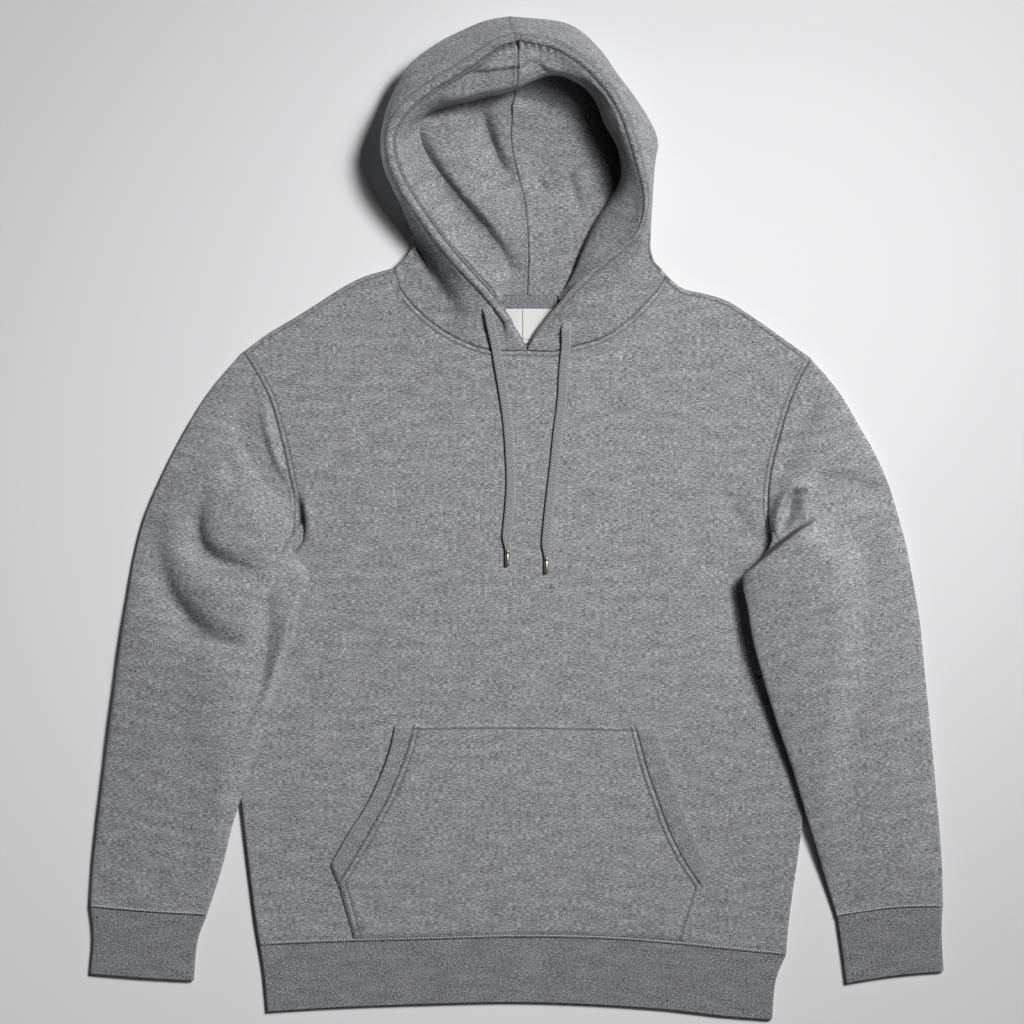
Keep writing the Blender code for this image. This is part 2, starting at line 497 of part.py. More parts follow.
# --- Sleeves and cuffs: rings round a flattened tube -----------------------------------
def ring_layer(rings, armhole, v, above, inset, troughs=(), lips=()):
    """The upper or lower layer of a tube, from its outer fold to its inner one."""
    table = np.array(rings, float)
    table[:, :2], table[:, 2:4] = mat(table[:, :2]), mat(table[:, 2:4])
    values = through(table, run_length((table[:, :2] + table[:, 2:4]) / 2))(v)
    outer, inner = values[:, None, :2], values[:, None, 2:4]
    over, lift, puff, bow = (values[:, k, None] for k in range(4, 8))
    length = np.linalg.norm(outer - inner, axis=-1)
    depth = round_in(FOLD_ANGLES, inset)[0]
    folds, steps = len(FOLD_ANGLES), np.linspace(0, 1, ARMHOLE_ROWS + 1)[1:-1]
    t = np.tile(np.pad(steps, folds), (len(v), 1))
    t[:, :folds] = depth / length
    t[:, -folds:] = 1 - depth[::-1] / length
    plan = outer + (inner - outer) * t[..., None]
    along = (inner - outer) / length[..., None]
    down_sleeve = np.stack([along[..., 1], -along[..., 0]], -1)
    down_sleeve = down_sleeve * np.sign(-down_sleeve[..., 1:2])
    plan = plan + down_sleeve * (bow * 4 * t * (1 - t))[..., None]
    if armhole is not None:
        seam = reverse(armhole)
        chord = outer[0] + (inner[0] - outer[0]) * t[:1, :, None]
        curl = seam(t[:1]) - chord
        reach = run_length((outer + inner)[:, 0] / 2)
        plan = plan + curl * (1 - smooth(reach / CURL_REACH))[:, None, None]
    from_inner = (1 - t) * length
    held = lift * (1 - smooth((from_inner - over - RAMP_START) / RAMP_LENGTH))
    turn = np.sin(np.concatenate([FOLD_ANGLES, np.full(len(steps), np.pi / 2), FOLD_ANGLES[::-1]]))
    middle = held + FLAT_MID
    if not above:
        return np.dstack([plan, middle - (FOLD_RADIUS - inset) * turn])
    loose = smooth(puff / LOOSE_PUFF) * turn
    rise = puff * np.sin(np.pi * t) ** SLEEVE_FULLNESS - trough_depth(troughs, plan) * loose
    rise = rise + lip_height(lips, plan) * loose
    height = (FOLD_RADIUS - inset) * turn + np.maximum(rise, 0.0) * turn
    return np.dstack([plan, middle + height])


def ring_wall(rings, armhole, rows, wall, crowding=1.0, troughs=(), lips=()):
    """Outer and inner surfaces of the whole tube, as closed rings of points."""
    v = np.linspace(0, 1, rows) ** crowding
    surfaces = []
    for inset in (0.0, wall):
        upper = ring_layer(rings, armhole, v, True, inset, troughs, lips)
        lower = ring_layer(rings, armhole, v, False, inset)
        surfaces.append(np.concatenate([upper, lower[:, ::-1][:, 1:-1]], axis=1))
    return surfaces


# --- Hood ------------------------------------------------------------------------------
def unit(vectors):
    return vectors / np.maximum(np.linalg.norm(vectors, axis=-1, keepdims=True), 1e-9)


def resample(points, count):
    """The curve through the points, at evenly spaced places along it."""
    curve = through(points)
    steps = np.linspace(0, 1, RESAMPLE_STEPS)
    length = run_length(curve(steps))
    places = np.interp(np.linspace(0, length[-1], count), length, steps)
    return curve(places)


def roll_points(rim, outward, angles):
    """Points on the roll round the opening."""
    centre = rim - np.array([0, 0, ROLL_RADIUS])
    return np.array([centre + ROLL_RADIUS * roll_normal(outward, a) for a in angles])


def roll_normal(outward, angle):
    return outward * math.cos(angle) + np.array([0, 0, 1]) * math.sin(angle)


def roll_outward(sections, share):
    rim, hollow = columns_of(through(np.array(sections, float),
                                     np.arange(len(sections)))(np.array(share)), 0, 3)
    return unit(np.append((hollow - rim)[:2], 0.0))


def columns_of(section, *starts):
    """The points of a section's row that start at the given columns."""
    return [mat(section[k:k + 3][None])[0] for k in starts]


def neck_row(neck_front, neck_back):
    """The outer cloth's neck edge, centre front round to centre back."""
    front = resample(np.column_stack([mat(neck_front), np.full(len(neck_front),
                     2 * FOLD_RADIUS + NECK_RISE)]), HOOD_FRONT_COLUMNS + 1)
    front[-1, 2] = FLAT_MID
    back = resample(np.column_stack([mat(neck_back)[::-1], np.zeros(len(neck_back))]),
                    HOOD_BACK_COLUMNS + 1)
    return np.concatenate([front, back[1:]]) + [0, HOOD_SEAM_GAP, 0]


def hood_outer(sections, neck_front, neck_back, lean):
    """The outer cloth of one half of the hood: rim, over the side, and under to the back."""
    rows = [neck_row(neck_front, neck_back)]
    table = through(np.array(sections, float), np.arange(len(sections)))
    centre = through(mat(CENTRE_BACK))
    for share in np.linspace(0, 1, HOOD_ROWS):
        section = table(np.array(share))
        rim, hollow, side = columns_of(section, 0, 3, 6)
        tuck = np.append(mat(section[None, 9:11])[0], 0.0)
        outward = unit(np.append((hollow - rim)[:2], 0.0))
        roll = roll_points(rim, outward, OUTER_ROLL)
        middle = np.append(centre(np.array(CENTRE_START + (1 - CENTRE_START) * share)), 0.0)
        over = resample(np.array([roll[-1], hollow, side]), HOOD_FRONT_COLUMNS - 1)[1:]
        turned = (side + tuck) / 2 - [0, 0, side[2] * UNDER_DROP]
        under = resample(np.array([side, turned, tuck, (tuck + middle) / 2, middle]),
                         HOOD_BACK_COLUMNS + 1)
        row = np.concatenate([roll, over, under[1:]])
        row[:, 2] = np.maximum(row[:, 2], 0.0)
        rows.append(row)
    grid = np.array(rows)
    grid[-1, :, 0] = np.linspace(*grid[-1, [0, -1], 0], grid.shape[1])
    return grid + np.array([lean, 0, 0]) * seam_weight(grid.shape)


def seam_weight(shape):
    """1 on the centre seam, which is the last row and the last column, and 0 elsewhere."""
    weight = np.zeros(shape[:2] + (1,))
    weight[-1], weight[:, -1] = 1.0, 1.0
    return weight


def hood_lining(sections, outer_sections, neck, lean):
    """The lining of one half: its neck edge, then the roll, the wall and the hood's floor."""
    neck = mat(neck)
    rows = [np.concatenate([resample(neck[:LINING_FOLD + 1], WALL_COLUMNS + 1),
                            resample(neck[LINING_FOLD:], FLOOR_COLUMNS + 1)[1:]])]
    table = through(np.array(sections, float), np.arange(len(sections)))
    outer_table = through(np.array(outer_sections, float), np.arange(len(outer_sections)))
    centre = through(mat(LINING_CENTRE))
    for share in np.linspace(0, 1, HOOD_ROWS):
        section = table(np.array(share))
        wall, foot = columns_of(section, 3, 6)
        rim, hollow = columns_of(outer_table(np.array(share)), 0, 3)
        outward = unit(np.append((hollow - rim)[:2], 0.0))
        start, turn = roll_points(rim, outward, LINING_ROLL)
        end = centre(np.array(share))
        edge = foot + EDGE_SHARE * (wall - foot)
        edge[2] = max(edge[2], foot[2] + section[9])
        down = resample(np.array([turn, wall, edge, foot]), WALL_COLUMNS)
        floor = resample(np.array([foot, (foot + end) / 2, end]), FLOOR_COLUMNS + 1)
        rows.append(np.concatenate([[start], down, floor[1:]]))
    grid = np.array(rows)
    loose = grid[1:, len(LINING_ROLL) + 1:]
    loose[..., 2] -= trough_depth(LINING_TROUGHS, loose[..., :2])
    return grid + np.array([lean, 0, 0]) * seam_weight(grid.shape)


def normals_of(grid):
    down = np.gradient(grid, axis=0)
    across = np.gradient(grid, axis=1)
    return unit(np.cross(across, down))


def offset_into(grid, amount, facing, sections, roll):
    """The grid moved off itself by the wall, away from the side that faces out."""
    normals = normals_of(grid) * facing
    for i, share in enumerate(np.linspace(0, 1, HOOD_ROWS)):
        for j, angle in enumerate(roll):
            normals[i + 1, j] = roll_normal(roll_outward(sections, share), angle)
    normals[-1, :, 0] = 0.0
    normals[:, -1, 0] = 0.0
    normals[grid[..., 2] < ON_SURFACE] = (0.0, 0.0, -1.0)
    return grid - unit(normals) * amount


# --- Solids ------------------------------------------------------------------------------
def material(name):
    found = bpy.data.materials.get(name)
    if found:
        return found
    found = bpy.data.materials.new(name)
    found.use_nodes = True
    shader = found.node_tree.nodes["Principled BSDF"]
    shade = SHADES[name]
    shader.inputs["Base Color"].default_value = (*shade.colour, 1.0)
    shader.inputs["Roughness"].default_value = shade.roughness
    shader.inputs["Metallic"].default_value = shade.metallic
    return found


def add_wall(name, outer, inner, shade, closed=False):
    """A cloth wall between two grids of points; closed joins each row into a ring."""
    n_rows, n_columns = outer.shape[:2]
    mesh = bmesh.new()
    skins = [[[mesh.verts.new(point * MM) for point in row] for row in grid]
             for grid in (outer, inner)]
    wraps = n_columns if closed else n_columns - 1
    for r in range(n_rows - 1):
        for c in range(wraps):
            d = (c + 1) % n_columns
            for side, skin in enumerate(skins):
                corners = [skin[r][c], skin[r][d], skin[r + 1][d], skin[r + 1][c]]
                mesh.faces.new(corners[::-1] if side else corners)
    edge_runs = [[(r, c) for c in range(wraps + 1)] for r in (0, n_rows - 1)]
    if not closed:
        edge_runs += [[(r, c) for r in range(n_rows)] for c in (0, n_columns - 1)]
    for run in edge_runs:
        for (r, c), (s, d) in zip(run, run[1:]):
            c, d = c % n_columns, d % n_columns
            mesh.faces.new([skins[0][r][c], skins[0][s][d], skins[1][s][d], skins[1][r][c]])
    bmesh.ops.recalc_face_normals(mesh, faces=mesh.faces)
    data = bpy.data.meshes.new(name)
    mesh.to_mesh(data)
    mesh.free()
    data.shade_smooth()
    data.set_sharp_from_angle(angle=SHARP_ANGLE)
    part = bpy.data.objects.new(name, data)
    part.data.materials.append(material(shade))
    GARMENT.objects.link(part)
    return part


def add_body():
    for name, necks, above, columns in (
            ("body_front", (FRONT_NECK_RIGHT, FRONT_NECK_LEFT), True, SHOULDER_COLUMNS),
            ("body_back", (BACK_NECK_RIGHT, BACK_NECK_LEFT), False, SHOULDER_COLUMNS - 1)):
        edges = body_edges(*necks)
        steps = body_steps(columns, NECK_COLUMNS if above else HOOD_BACK_COLUMNS,
                           [ARMHOLE_COLUMN] if above else [])
        outer = body_layer(edges, steps, above, 0.0)
        inner = body_layer(edges, steps, above, FLEECE)
        add_wall(name, outer, inner, "fleece")


def add_hem_band():
    edges = [through(mat(path)) for path in (HEM_EDGE, HEM_SEAM, HEM_RIGHT_END, HEM_LEFT_END)]
    steps = body_steps(SHOULDER_COLUMNS, NECK_COLUMNS)[0]
    v_line = np.linspace(0, 1 - 2 * SEAM_GAP / BAND_HEIGHT, BAND_ROWS)
    surfaces = []
    for inset in (0.0, RIB):
        u, v = np.meshgrid(steps, v_line)
        turn = np.ones(u.shape)
        for i, angle in enumerate(FOLD_ANGLES):
            depth = round_in(angle, inset)[0] / BAND_WIDTH
            u[:, i], u[:, -1 - i] = depth, 1 - depth
            turn[:, i] = turn[:, -1 - i] = math.sin(angle)
        plan = coons(*edges, u, v)
        height = (FOLD_RADIUS - inset) * turn
        upper = np.dstack([plan, FLAT_MID + height])
        lower = np.dstack([plan, FLAT_MID - height])
        surfaces.append(np.concatenate([upper, lower[:, ::-1][:, 1:-1]], axis=1))
    add_wall("hem_band", *surfaces, "rib", closed=True)


def add_sleeves():
    for side, rings, cuff, armhole, troughs, lips in (
            ("right", RIGHT_SLEEVE, RIGHT_CUFF, RIGHT_ARMHOLE, RIGHT_SLEEVE_TROUGHS, ()),
            ("left", LEFT_SLEEVE, LEFT_CUFF, LEFT_ARMHOLE, LEFT_SLEEVE_TROUGHS, LEFT_SLEEVE_LIPS)):
        seam = through(mat(armhole))
        outer, inner = ring_wall(rings, seam, SLEEVE_ROWS, FLEECE, SLEEVE_CROWDING,
                                 troughs, lips)
        away = -1.0 if side == "right" else 1.0
        for grid in (outer, inner):
            grid[0, :, 0] += away * ARMHOLE_GAP
            grid[1, :, 0] += away * SEAM_GAP
            grid[-1, :, 1] += SEAM_GAP
        add_wall("sleeve_" + side, outer, inner, "fleece", closed=True)
        outer, inner = ring_wall(cuff, None, BAND_ROWS, RIB)
        for grid in (outer, inner):
            grid[0, :, 1] -= CUFF_GAP
        add_wall("cuff_" + side, outer, inner, "rib", closed=True)


def add_hood():
    halves = (("right", HOOD_RIGHT, LINING_RIGHT, LINING_NECK_RIGHT, FRONT_NECK_RIGHT,
               BACK_NECK_RIGHT, -1.0),
              ("left", HOOD_LEFT, LINING_LEFT, LINING_NECK_LEFT, FRONT_NECK_LEFT,
               BACK_NECK_LEFT, 1.0))
    for side, sections, lining, lining_neck, neck_front, neck_back, away in halves:
        lean = away * SEAM_GAP / 2
        outer = hood_outer(sections, neck_front, neck_back, lean)
        inner = offset_into(outer, HOOD_OUTER, away, sections, OUTER_ROLL)
        add_wall("hood_outer_" + side, outer, inner, "fleece")
        face = hood_lining(lining, sections, lining_neck, lean)
        back = offset_into(face, HOOD_LINING, -away, sections, LINING_ROLL)
        add_wall("hood_lining_" + side, face, back, "fleece")


def add_strip(name, top, wall, shade):
    """A flat piece between its upper surface and the same surface lowered by its wall."""
    add_wall(name, top, top - [0, 0, wall], shade)


def front_top(plan):
    return 2 * FOLD_RADIUS + front_rise(plan)


def add_pocket():
    sides = []
    for foot, seam in ((POCKET_RIGHT_FOOT, TRIM_RIGHT_INNER), (POCKET_LEFT_FOOT, TRIM_LEFT_INNER)):
        sides.append(joined([through(mat(foot)), through(mat(seam))], [POCKET_FOOT]))
    edges = (through(mat(POCKET_BOTTOM)), through(mat(POCKET_TOP)), *sides)
    v_line = np.concatenate([np.linspace(0, POCKET_FOOT, POCKET_FOOT_ROWS + 1)[:-1],
                             np.linspace(POCKET_FOOT, 1, POCKET_ROWS + 1)])
    u, v = np.meshgrid(np.linspace(0, 1, POCKET_COLUMNS + 1), v_line)
    plan = coons(*edges, u, v)
    puff = POCKET_PUFF * (np.sin(np.pi * u) * np.sin(np.pi * v)) ** POCKET_FULLNESS
    top = np.dstack([plan, front_top(plan) + PATCH_CLEARANCE + FLEECE + puff])
    add_strip("pocket", top, FLEECE, "fleece")
    for side, inner, outer in (("right", TRIM_RIGHT_INNER, TRIM_RIGHT_OUTER),
                               ("left", TRIM_LEFT_INNER, TRIM_LEFT_OUTER)):
        along = np.linspace(0, 1, POCKET_ROWS + 1)[:, None]
        near, far = (through(mat(path))(along[:, 0])[:, None] for path in (inner, outer))
        width = np.linalg.norm(far - near, axis=-1, keepdims=True)
        across = np.array([0.0, 0.5, 1.0])[None, :, None]
        across = np.maximum(across, TRIM_SEAM_GAP / width)
        plan = near + (far - near) * across
        gape = POCKET_GAPE * np.sin(np.pi * along) * across[..., 0]
        top = np.dstack([plan, front_top(plan) + PATCH_CLEARANCE + RIB + gape])
        add_strip("pocket_rib_" + side, top, RIB, "rib")


def add_neck_pieces():
    across = np.linspace(*NECK_TAPE_ACROSS, TAPE_COLUMNS + 1)
    rows = [[(x, row.down, row.height) for x in across] for row in NECK_TAPE]
    add_strip("neck_tape", mat(rows), TAPE, "tape")
    for name, label in (("neck_label", NECK_LABEL), ("size_label", SIZE_LABEL)):
        columns = np.linspace(label.left, label.right, LABEL_COLUMNS + 1)
        rows = [[(x, y, label.height) for x in columns]
                for y in np.linspace(label.top, label.bottom, LABEL_ROWS + 1)]
        add_strip(name, mat(rows), label.wall, "label")


def add_cords():
    for side, route in (("right", RIGHT_CORD), ("left", LEFT_CORD)):
        line = through(mat(route))(np.linspace(0, 1, CORD_POINTS))
        past_neck = np.maximum(line[:, 1] - mat(FRONT_NECK_LEFT[0])[1], 0.0)
        cloth = np.where(past_neck > 0, front_top(mat(FRONT_NECK_LEFT[0])), front_top(line))
        height = cloth + HOOD_SLOPE * past_neck + PATCH_CLEARANCE + CORD_THICKNESS / 2
        line = np.column_stack([line, height])
        curve = bpy.data.curves.new("drawcord_" + side, "CURVE")
        curve.dimensions = "3D"
        curve.twist_mode = "Z_UP"
        curve.bevel_depth = CORD_THICKNESS / 2 * MM
        curve.extrude = (CORD_WIDTH - CORD_THICKNESS) / 2 * MM
        curve.bevel_resolution = 2
        curve.use_fill_caps = True
        spline = curve.splines.new("POLY")
        spline.points.add(len(line) - 1)
        for point, place in zip(spline.points, line):
            point.co = (*(place * MM), 1.0)
            point.tilt = math.pi / 2
        curve.materials.append(material("cord"))
        GARMENT.objects.link(bpy.data.objects.new("drawcord_" + side, curve))
        end = line[-1] + [0, -SEAM_GAP, 0]
        mesh = bmesh.new()
        radius = AGLET_DIAMETER / 2 * MM
        bmesh.ops.create_cone(mesh, cap_ends=True, segments=AGLET_SIDES, radius1=radius,
                              radius2=radius, depth=AGLET_LENGTH * MM)
        bmesh.ops.rotate(mesh, matrix=Matrix.Rotation(math.pi / 2, 3, "X"), verts=mesh.verts)
        centre = (end + [0, -AGLET_LENGTH / 2, AGLET_DIAMETER / 2 - CORD_THICKNESS / 2]) * MM
        bmesh.ops.translate(mesh, vec=centre, verts=mesh.verts)
        data = bpy.data.meshes.new("aglet_" + side)
        mesh.to_mesh(data)
        mesh.free()
        data.shade_smooth()
        data.set_sharp_from_angle(angle=SHARP_ANGLE)
        data.materials.append(material("metal"))
        GARMENT.objects.link(bpy.data.objects.new("aglet_" + side, data))


def build():
    add_body()
    add_hem_band()
    add_sleeves()
    add_hood()
    add_pocket()
    add_neck_pieces()
    add_cords()


for old in list(bpy.data.objects):
    bpy.data.objects.remove(old)
GARMENT = bpy.data.collections.new("pullover_hoodie")
bpy.context.scene.collection.children.link(GARMENT)
build()
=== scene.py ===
"""A grey marl pullover hoodie laid flat on its back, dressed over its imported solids.

The cloth of each piece is lofted again from the same tables as its solid, with many more
points, and gets its folds, seams, stitches and knit. The tables hold readings in
millimetres on a square mat that the garment lies on: across from the mat's left edge,
down from its top edge, and height above it. "right" and "left" are the wearer's own.
"""
import functools
import math
from collections import namedtuple

import bmesh
import bpy
import numpy as np
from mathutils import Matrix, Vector
from mathutils.bvhtree import BVHTree
from mathutils.kdtree import KDTree


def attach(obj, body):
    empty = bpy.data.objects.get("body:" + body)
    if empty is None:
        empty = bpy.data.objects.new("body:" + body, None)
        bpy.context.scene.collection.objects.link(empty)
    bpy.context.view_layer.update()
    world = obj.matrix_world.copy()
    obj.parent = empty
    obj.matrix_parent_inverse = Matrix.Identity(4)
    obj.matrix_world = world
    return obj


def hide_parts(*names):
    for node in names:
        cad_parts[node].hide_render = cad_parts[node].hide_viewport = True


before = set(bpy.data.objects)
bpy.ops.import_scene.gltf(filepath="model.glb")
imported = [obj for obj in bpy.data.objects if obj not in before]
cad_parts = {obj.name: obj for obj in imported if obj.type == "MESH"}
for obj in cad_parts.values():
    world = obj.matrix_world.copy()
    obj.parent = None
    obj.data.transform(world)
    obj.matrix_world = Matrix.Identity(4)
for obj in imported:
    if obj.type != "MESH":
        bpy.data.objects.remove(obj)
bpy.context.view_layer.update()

MM = 0.001
MAT_CENTRE = (516.8, 518.6)  # the mat reading that is the part's origin

# --- Driving sizes, mm -------------------------------------------------------------
FLEECE = 2.4            # wall of the brushed fleece
RIB = 2.6               # wall of the ribbed hem, cuffs and pocket trims
HOOD_OUTER = 2.2        # the hood is double: outer cloth and lining
HOOD_LINING = 2.0
SEAM_GAP = 0.3          # clear space left at every seam
FOLD_RADIUS = 3.0       # outer radius where a flattened tube folds at its edge
FLAT_MID = FOLD_RADIUS  # height of the middle of two layers lying on each other
FOLD_POWER = 0.5        # 1 is a round fold, less is a squarer one
SUNNY_FOLD_POWER = 1.0  # the sleeves' folds on the side of the light are round
SEAM_HALF = SEAM_GAP / 2
NECK_GAP = 1.6 * SEAM_GAP   # the hood's neck edge stands off the neck seam
ROLL_RADIUS = 4.5       # the stitched roll round the hood's face opening
CORD_WIDTH = 9.5
CORD_THICKNESS = 2.8
AGLET_DIAMETER = 4.0
NECK_RISE = 5.0         # the thick neck seam lifts the front round it
NECK_REACH = 42.0       # how far from the seam that can be seen
HOOD_SLOPE = 0.15       # climb of the hood's front edge from the neck seam to the roll
BODY_WIDTH = 540.0      # these four turn a length into a share of a panel
BODY_HEIGHT = 600.0
BAND_WIDTH = 510.0
BAND_HEIGHT = 62.0

# --- How finely the cloth is divided -------------------------------------------------
FOLD_ANGLES = np.radians([0.0, 22.5, 45.0, 67.5, 90.0])  # round a folded edge
EDGE_STEPS = np.array([3.8, 4.6, 5.4, 6.2, 7.2, 8.6, 10.6, 13.6])  # mm in from every seam
FRONT_STEP, BACK_STEP = 3.3, 7.0        # mm between rows and columns elsewhere
SLEEVE_FINE, SLEEVE_STEP = 1.8, 5.0     # between rows beside the armhole, and below
FINE_LENGTH = 110.0     # how far down the sleeve the fine rows go
BAND_ROWS = 9
HOOD_ROWS = 190
NECK_ROWS = 16              # from the neck seam to the first section of the hood
HOOD_FRONT_COLUMNS = 56     # rim to the hood's outermost side
HOOD_BACK_COLUMNS = 26      # side to centre back
WALL_COLUMNS = 40           # lining, rim to the hood's floor
FLOOR_COLUMNS = 44          # floor to centre back
END_STEPS = np.array([4.6, 3.5, 2.6, 1.8, 1.1, 0.5, 0.0])   # mm before the centre seam
BEFORE_SEAM = END_STEPS[0] + 1.2    # where the even rows and columns stop
CROWN_ROW = -5          # the row of points under the stitches beside that seam
CROWN_END = HOOD_FRONT_COLUMNS - 6  # the column where those stitches end
HOOD_PATH = 340.0       # mm round half of the face opening
NECK_KEY_ROW = 13       # the row of the hood that the rows from the neck are steered by
# mm in from the edges of a patch, then its size and the step elsewhere
PATCH_STEPS = np.array([0, 0.5, 1.0, 1.6, 2.4, 3.4, 4.4, 5.2, 6.0, 7.0, 9.0])
POCKET_ACROSS, POCKET_DOWN = (300.0, 3.3), (215.0, 3.0)
# Shares across a flattened tube, between its two folds
ARM_STEPS = np.concatenate([np.linspace(0.045, 0.60, 34), np.linspace(0.615, 0.955, 40)])
RIB_STEPS = np.linspace(0.045, 0.955, 200)
# Points along a curve: to space a row, to find the nearest one, the same for a line of painted
# shade, and along a row of stitches
CURVE_SAMPLES, NEAREST_SAMPLES, SHADOW_LINE_SAMPLES, SEAM_SAMPLES = 80, 60, 200, 400
HAIR, TINY = 1e-6, 1e-9     # too little to tell two shares apart, or two lengths


# --- Outlines: mat readings (across, down) -----------------------------------------
FRONT_NECK_RIGHT = [(527.0, 351), (487, 349.5), (469, 344), (450, 335), (427, 319),
                    (409, 301), (398, 285), (394, 268)]
FRONT_NECK_LEFT = [(527.0, 351), (558, 351), (576, 346), (604, 337), (627, 321),
                   (650, 298), (660, 286), (666, 275)]
BACK_NECK_RIGHT = [(527.0, 301), (480, 300), (440, 291), (410, 277), (394, 268)]
BACK_NECK_LEFT = [(527.0, 301), (575, 300), (615, 294), (648, 284), (666, 275)]
RIGHT_SHOULDER = [(243.5, 352), (268.5, 333.5), (297, 316.5), (318.5, 303), (336, 291.5),
                  (362, 277.5), (394, 268)]
LEFT_SHOULDER = [(810.5, 358), (790, 343.5), (768.5, 328), (746.5, 313), (725, 300),
                 (703.5, 293.5), (681.5, 288), (666, 275)]
RIGHT_ARMHOLE = [(287, 547), (292.5, 534), (295, 519), (294.6, 502), (290, 478),
                 (285, 454), (278.5, 428), (271, 402), (259, 377), (243.5, 352)]
LEFT_ARMHOLE = [(779, 544), (773.5, 533), (768.5, 516), (767.8, 494), (771.7, 466),
                (779, 438), (787, 410), (797, 384), (810.5, 358)]
RIGHT_SIDE = [(260, 945), (256, 920), (251.6, 886), (246, 841), (241.5, 803), (235, 757),
              (230, 677), (232, 627), (242, 589), (264, 563), (287, 547)]
LEFT_SIDE = [(786, 955), (788, 930), (792, 897), (798, 856), (803.5, 814), (813, 747),
             (822, 677), (823, 622), (816, 582), (798, 558), (779, 544)]
HEM_SEAM = [(260, 945), (302, 943), (362, 941), (420, 939.6), (538, 937), (620, 939.5),
            (676, 944), (730, 949.5), (786, 955)]
HEM_RIGHT_END = [(268, 1011), (263.5, 966), (260, 945)]
HEM_LEFT_END = [(772, 1019), (777.5, 974), (786, 955)]
HEM_EDGE = [(268, 1011), (331, 1007), (420, 1003.5), (524, 1001.5), (608, 1004.5),
            (665, 1008.5), (728, 1015.5), (772, 1019)]
UNDERARM = 0.66         # share of the body's side edge that is below the underarm
NECK_SHARES = (0.32, 0.5, 0.68)  # where the neck's two halves start and end on the top edge

# --- Sleeves: a row for each ring across the flattened tube, shoulder to cuff --------
# A row holds outer x, outer y, inner x, inner y, over, lift, puff and bow. Outer and inner
# are the ends of the ring on the mat; over is how much of it, from its inner end, lies on
# the front; lift is how high that end is held; puff is the air in the middle of the tube;
# bow moves the middle of the ring down the sleeve.
RIGHT_SLEEVE = [
    (243.5, 352, 287, 547, 14, 8.2, 0.0, 0),
    (212, 389, 291, 551, 14, 8.2, 7.0, 0),
    (185, 432, 298, 558, 30, 7.8, 11.5, 0),
    (162, 477, 306, 568, 40, 7.0, 15.0, 0),
    (146, 515, 310, 578, 58, 7.5, 16.0, 0),
    (135, 556, 307, 592, 70, 8.0, 16.0, 0),
    (128, 597, 302, 609, 73, 8.0, 15.0, 0),
    (121, 640, 293, 641, 66, 7.5, 14.0, 0),
    (114.5, 690, 279, 688, 52, 6.8, 12.0, 0),
    (108, 740, 261, 738, 29, 6.8, 10.5, 0),
    (102.5, 785, 246, 785, 10, 6.8, 9.0, 0),
    (97.5, 825, 232.5, 826, 0, 6.8, 8.0, 0),
    (93.5, 862, 223.5, 863, 0, 2.5, 6.0, 0),
    (90.5, 907, 207, 915.5, 0, 0.0, 0.9, 1.0),
]
LEFT_SLEEVE = [
    (810.5, 358, 779, 544, -8, 6.8, 0.0, 0),
    (839.5, 393, 772, 550, 14, 8.0, 7.0, 0),
    (859, 426, 761, 559, 34, 9.5, 11.0, 0),
    (875.5, 455, 750, 568, 44, 11.5, 13.5, 0),
    (887.5, 482, 743, 577, 62, 13.5, 14.0, 0),
    (896, 509, 743, 588, 74, 15.5, 14.0, 0),
    (905, 541, 747, 606, 80, 17.0, 13.5, 0),
    (912, 576, 751.5, 635, 76, 17.0, 12.5, 0),
    (919.5, 620, 762, 675, 64, 15.5, 11.5, 0),
    (925, 675, 777, 724, 44, 12.5, 10.5, 0),
    (930.5, 730, 792, 768, 22, 9.5, 9.5, 0),
    (935.5, 785, 806, 815, 4, 7.5, 8.5, 0),
    (940, 836, 815.5, 845, 0, 5.5, 7.0, 0),
    (942.5, 880, 827, 884, 0, 1.5, 4.5, 0),
    (943.0, 907, 837, 916.5, 0, 0.0, 0.9, -3.0),
]
RIGHT_CUFF = [
    (90.8, 907.3, 206.8, 915.8, 0, 0, 1.3, 1.0),
    (93.5, 930, 199, 936, 0, 0, 0.6, 0.5),
    (91, 973, 194, 980, 0, 0, 0.6, 0.5),
]
LEFT_CUFF = [
    (942.5, 907.3, 837.3, 916.8, 0, 0, 1.3, -3.0),
    (941.5, 930, 841.5, 945, 0, 0, 0.6, -2.0),
    (943.5, 971, 846.5, 983, 0, 0, 0.6, -2.0),
]

# --- Largest folds: a row for each soft trough, in mat readings ----------------------
# right and left are how wide its flank is on each side of travel.
Trough = namedtuple("Trough", "path depth right left")
RIGHT_SLEEVE_TROUGHS = [
    Trough([(211, 488), (202, 505), (198, 522), (199, 538), (206, 551), (220, 561),
            (240, 567), (266, 574)], 15.0, 17, 9),
    Trough([(248, 384), (250, 410), (252, 432), (258, 451), (269, 474), (293, 506)],
           14.5, 15, 9),
    Trough([(262, 392), (269, 425), (276, 455), (284, 485)], -3.0, 7, 8),
    Trough([(159, 516), (160, 552), (164, 575), (174, 598), (190, 618), (209, 634),
            (229, 643), (264, 648)], 14.0, 19, 11),
    Trough([(271, 578), (269, 610), (266, 645), (259, 705)], 7.5, 13, 8),
    Trough([(229, 448), (231, 470), (237, 494)], 3.5, 11, 8),
    Trough([(205, 735), (213, 785), (208, 860)], 2.0, 18, 18),
    Trough([(262, 560), (244, 660), (224, 760), (206, 885)], -10.0, 80, 24),
    Trough([(292, 562), (301, 576), (298.5, 592), (293.5, 609), (284.5, 640), (270.5, 686),
            (252.5, 736), (236, 784)], -7.0, 8, 5.5),
]
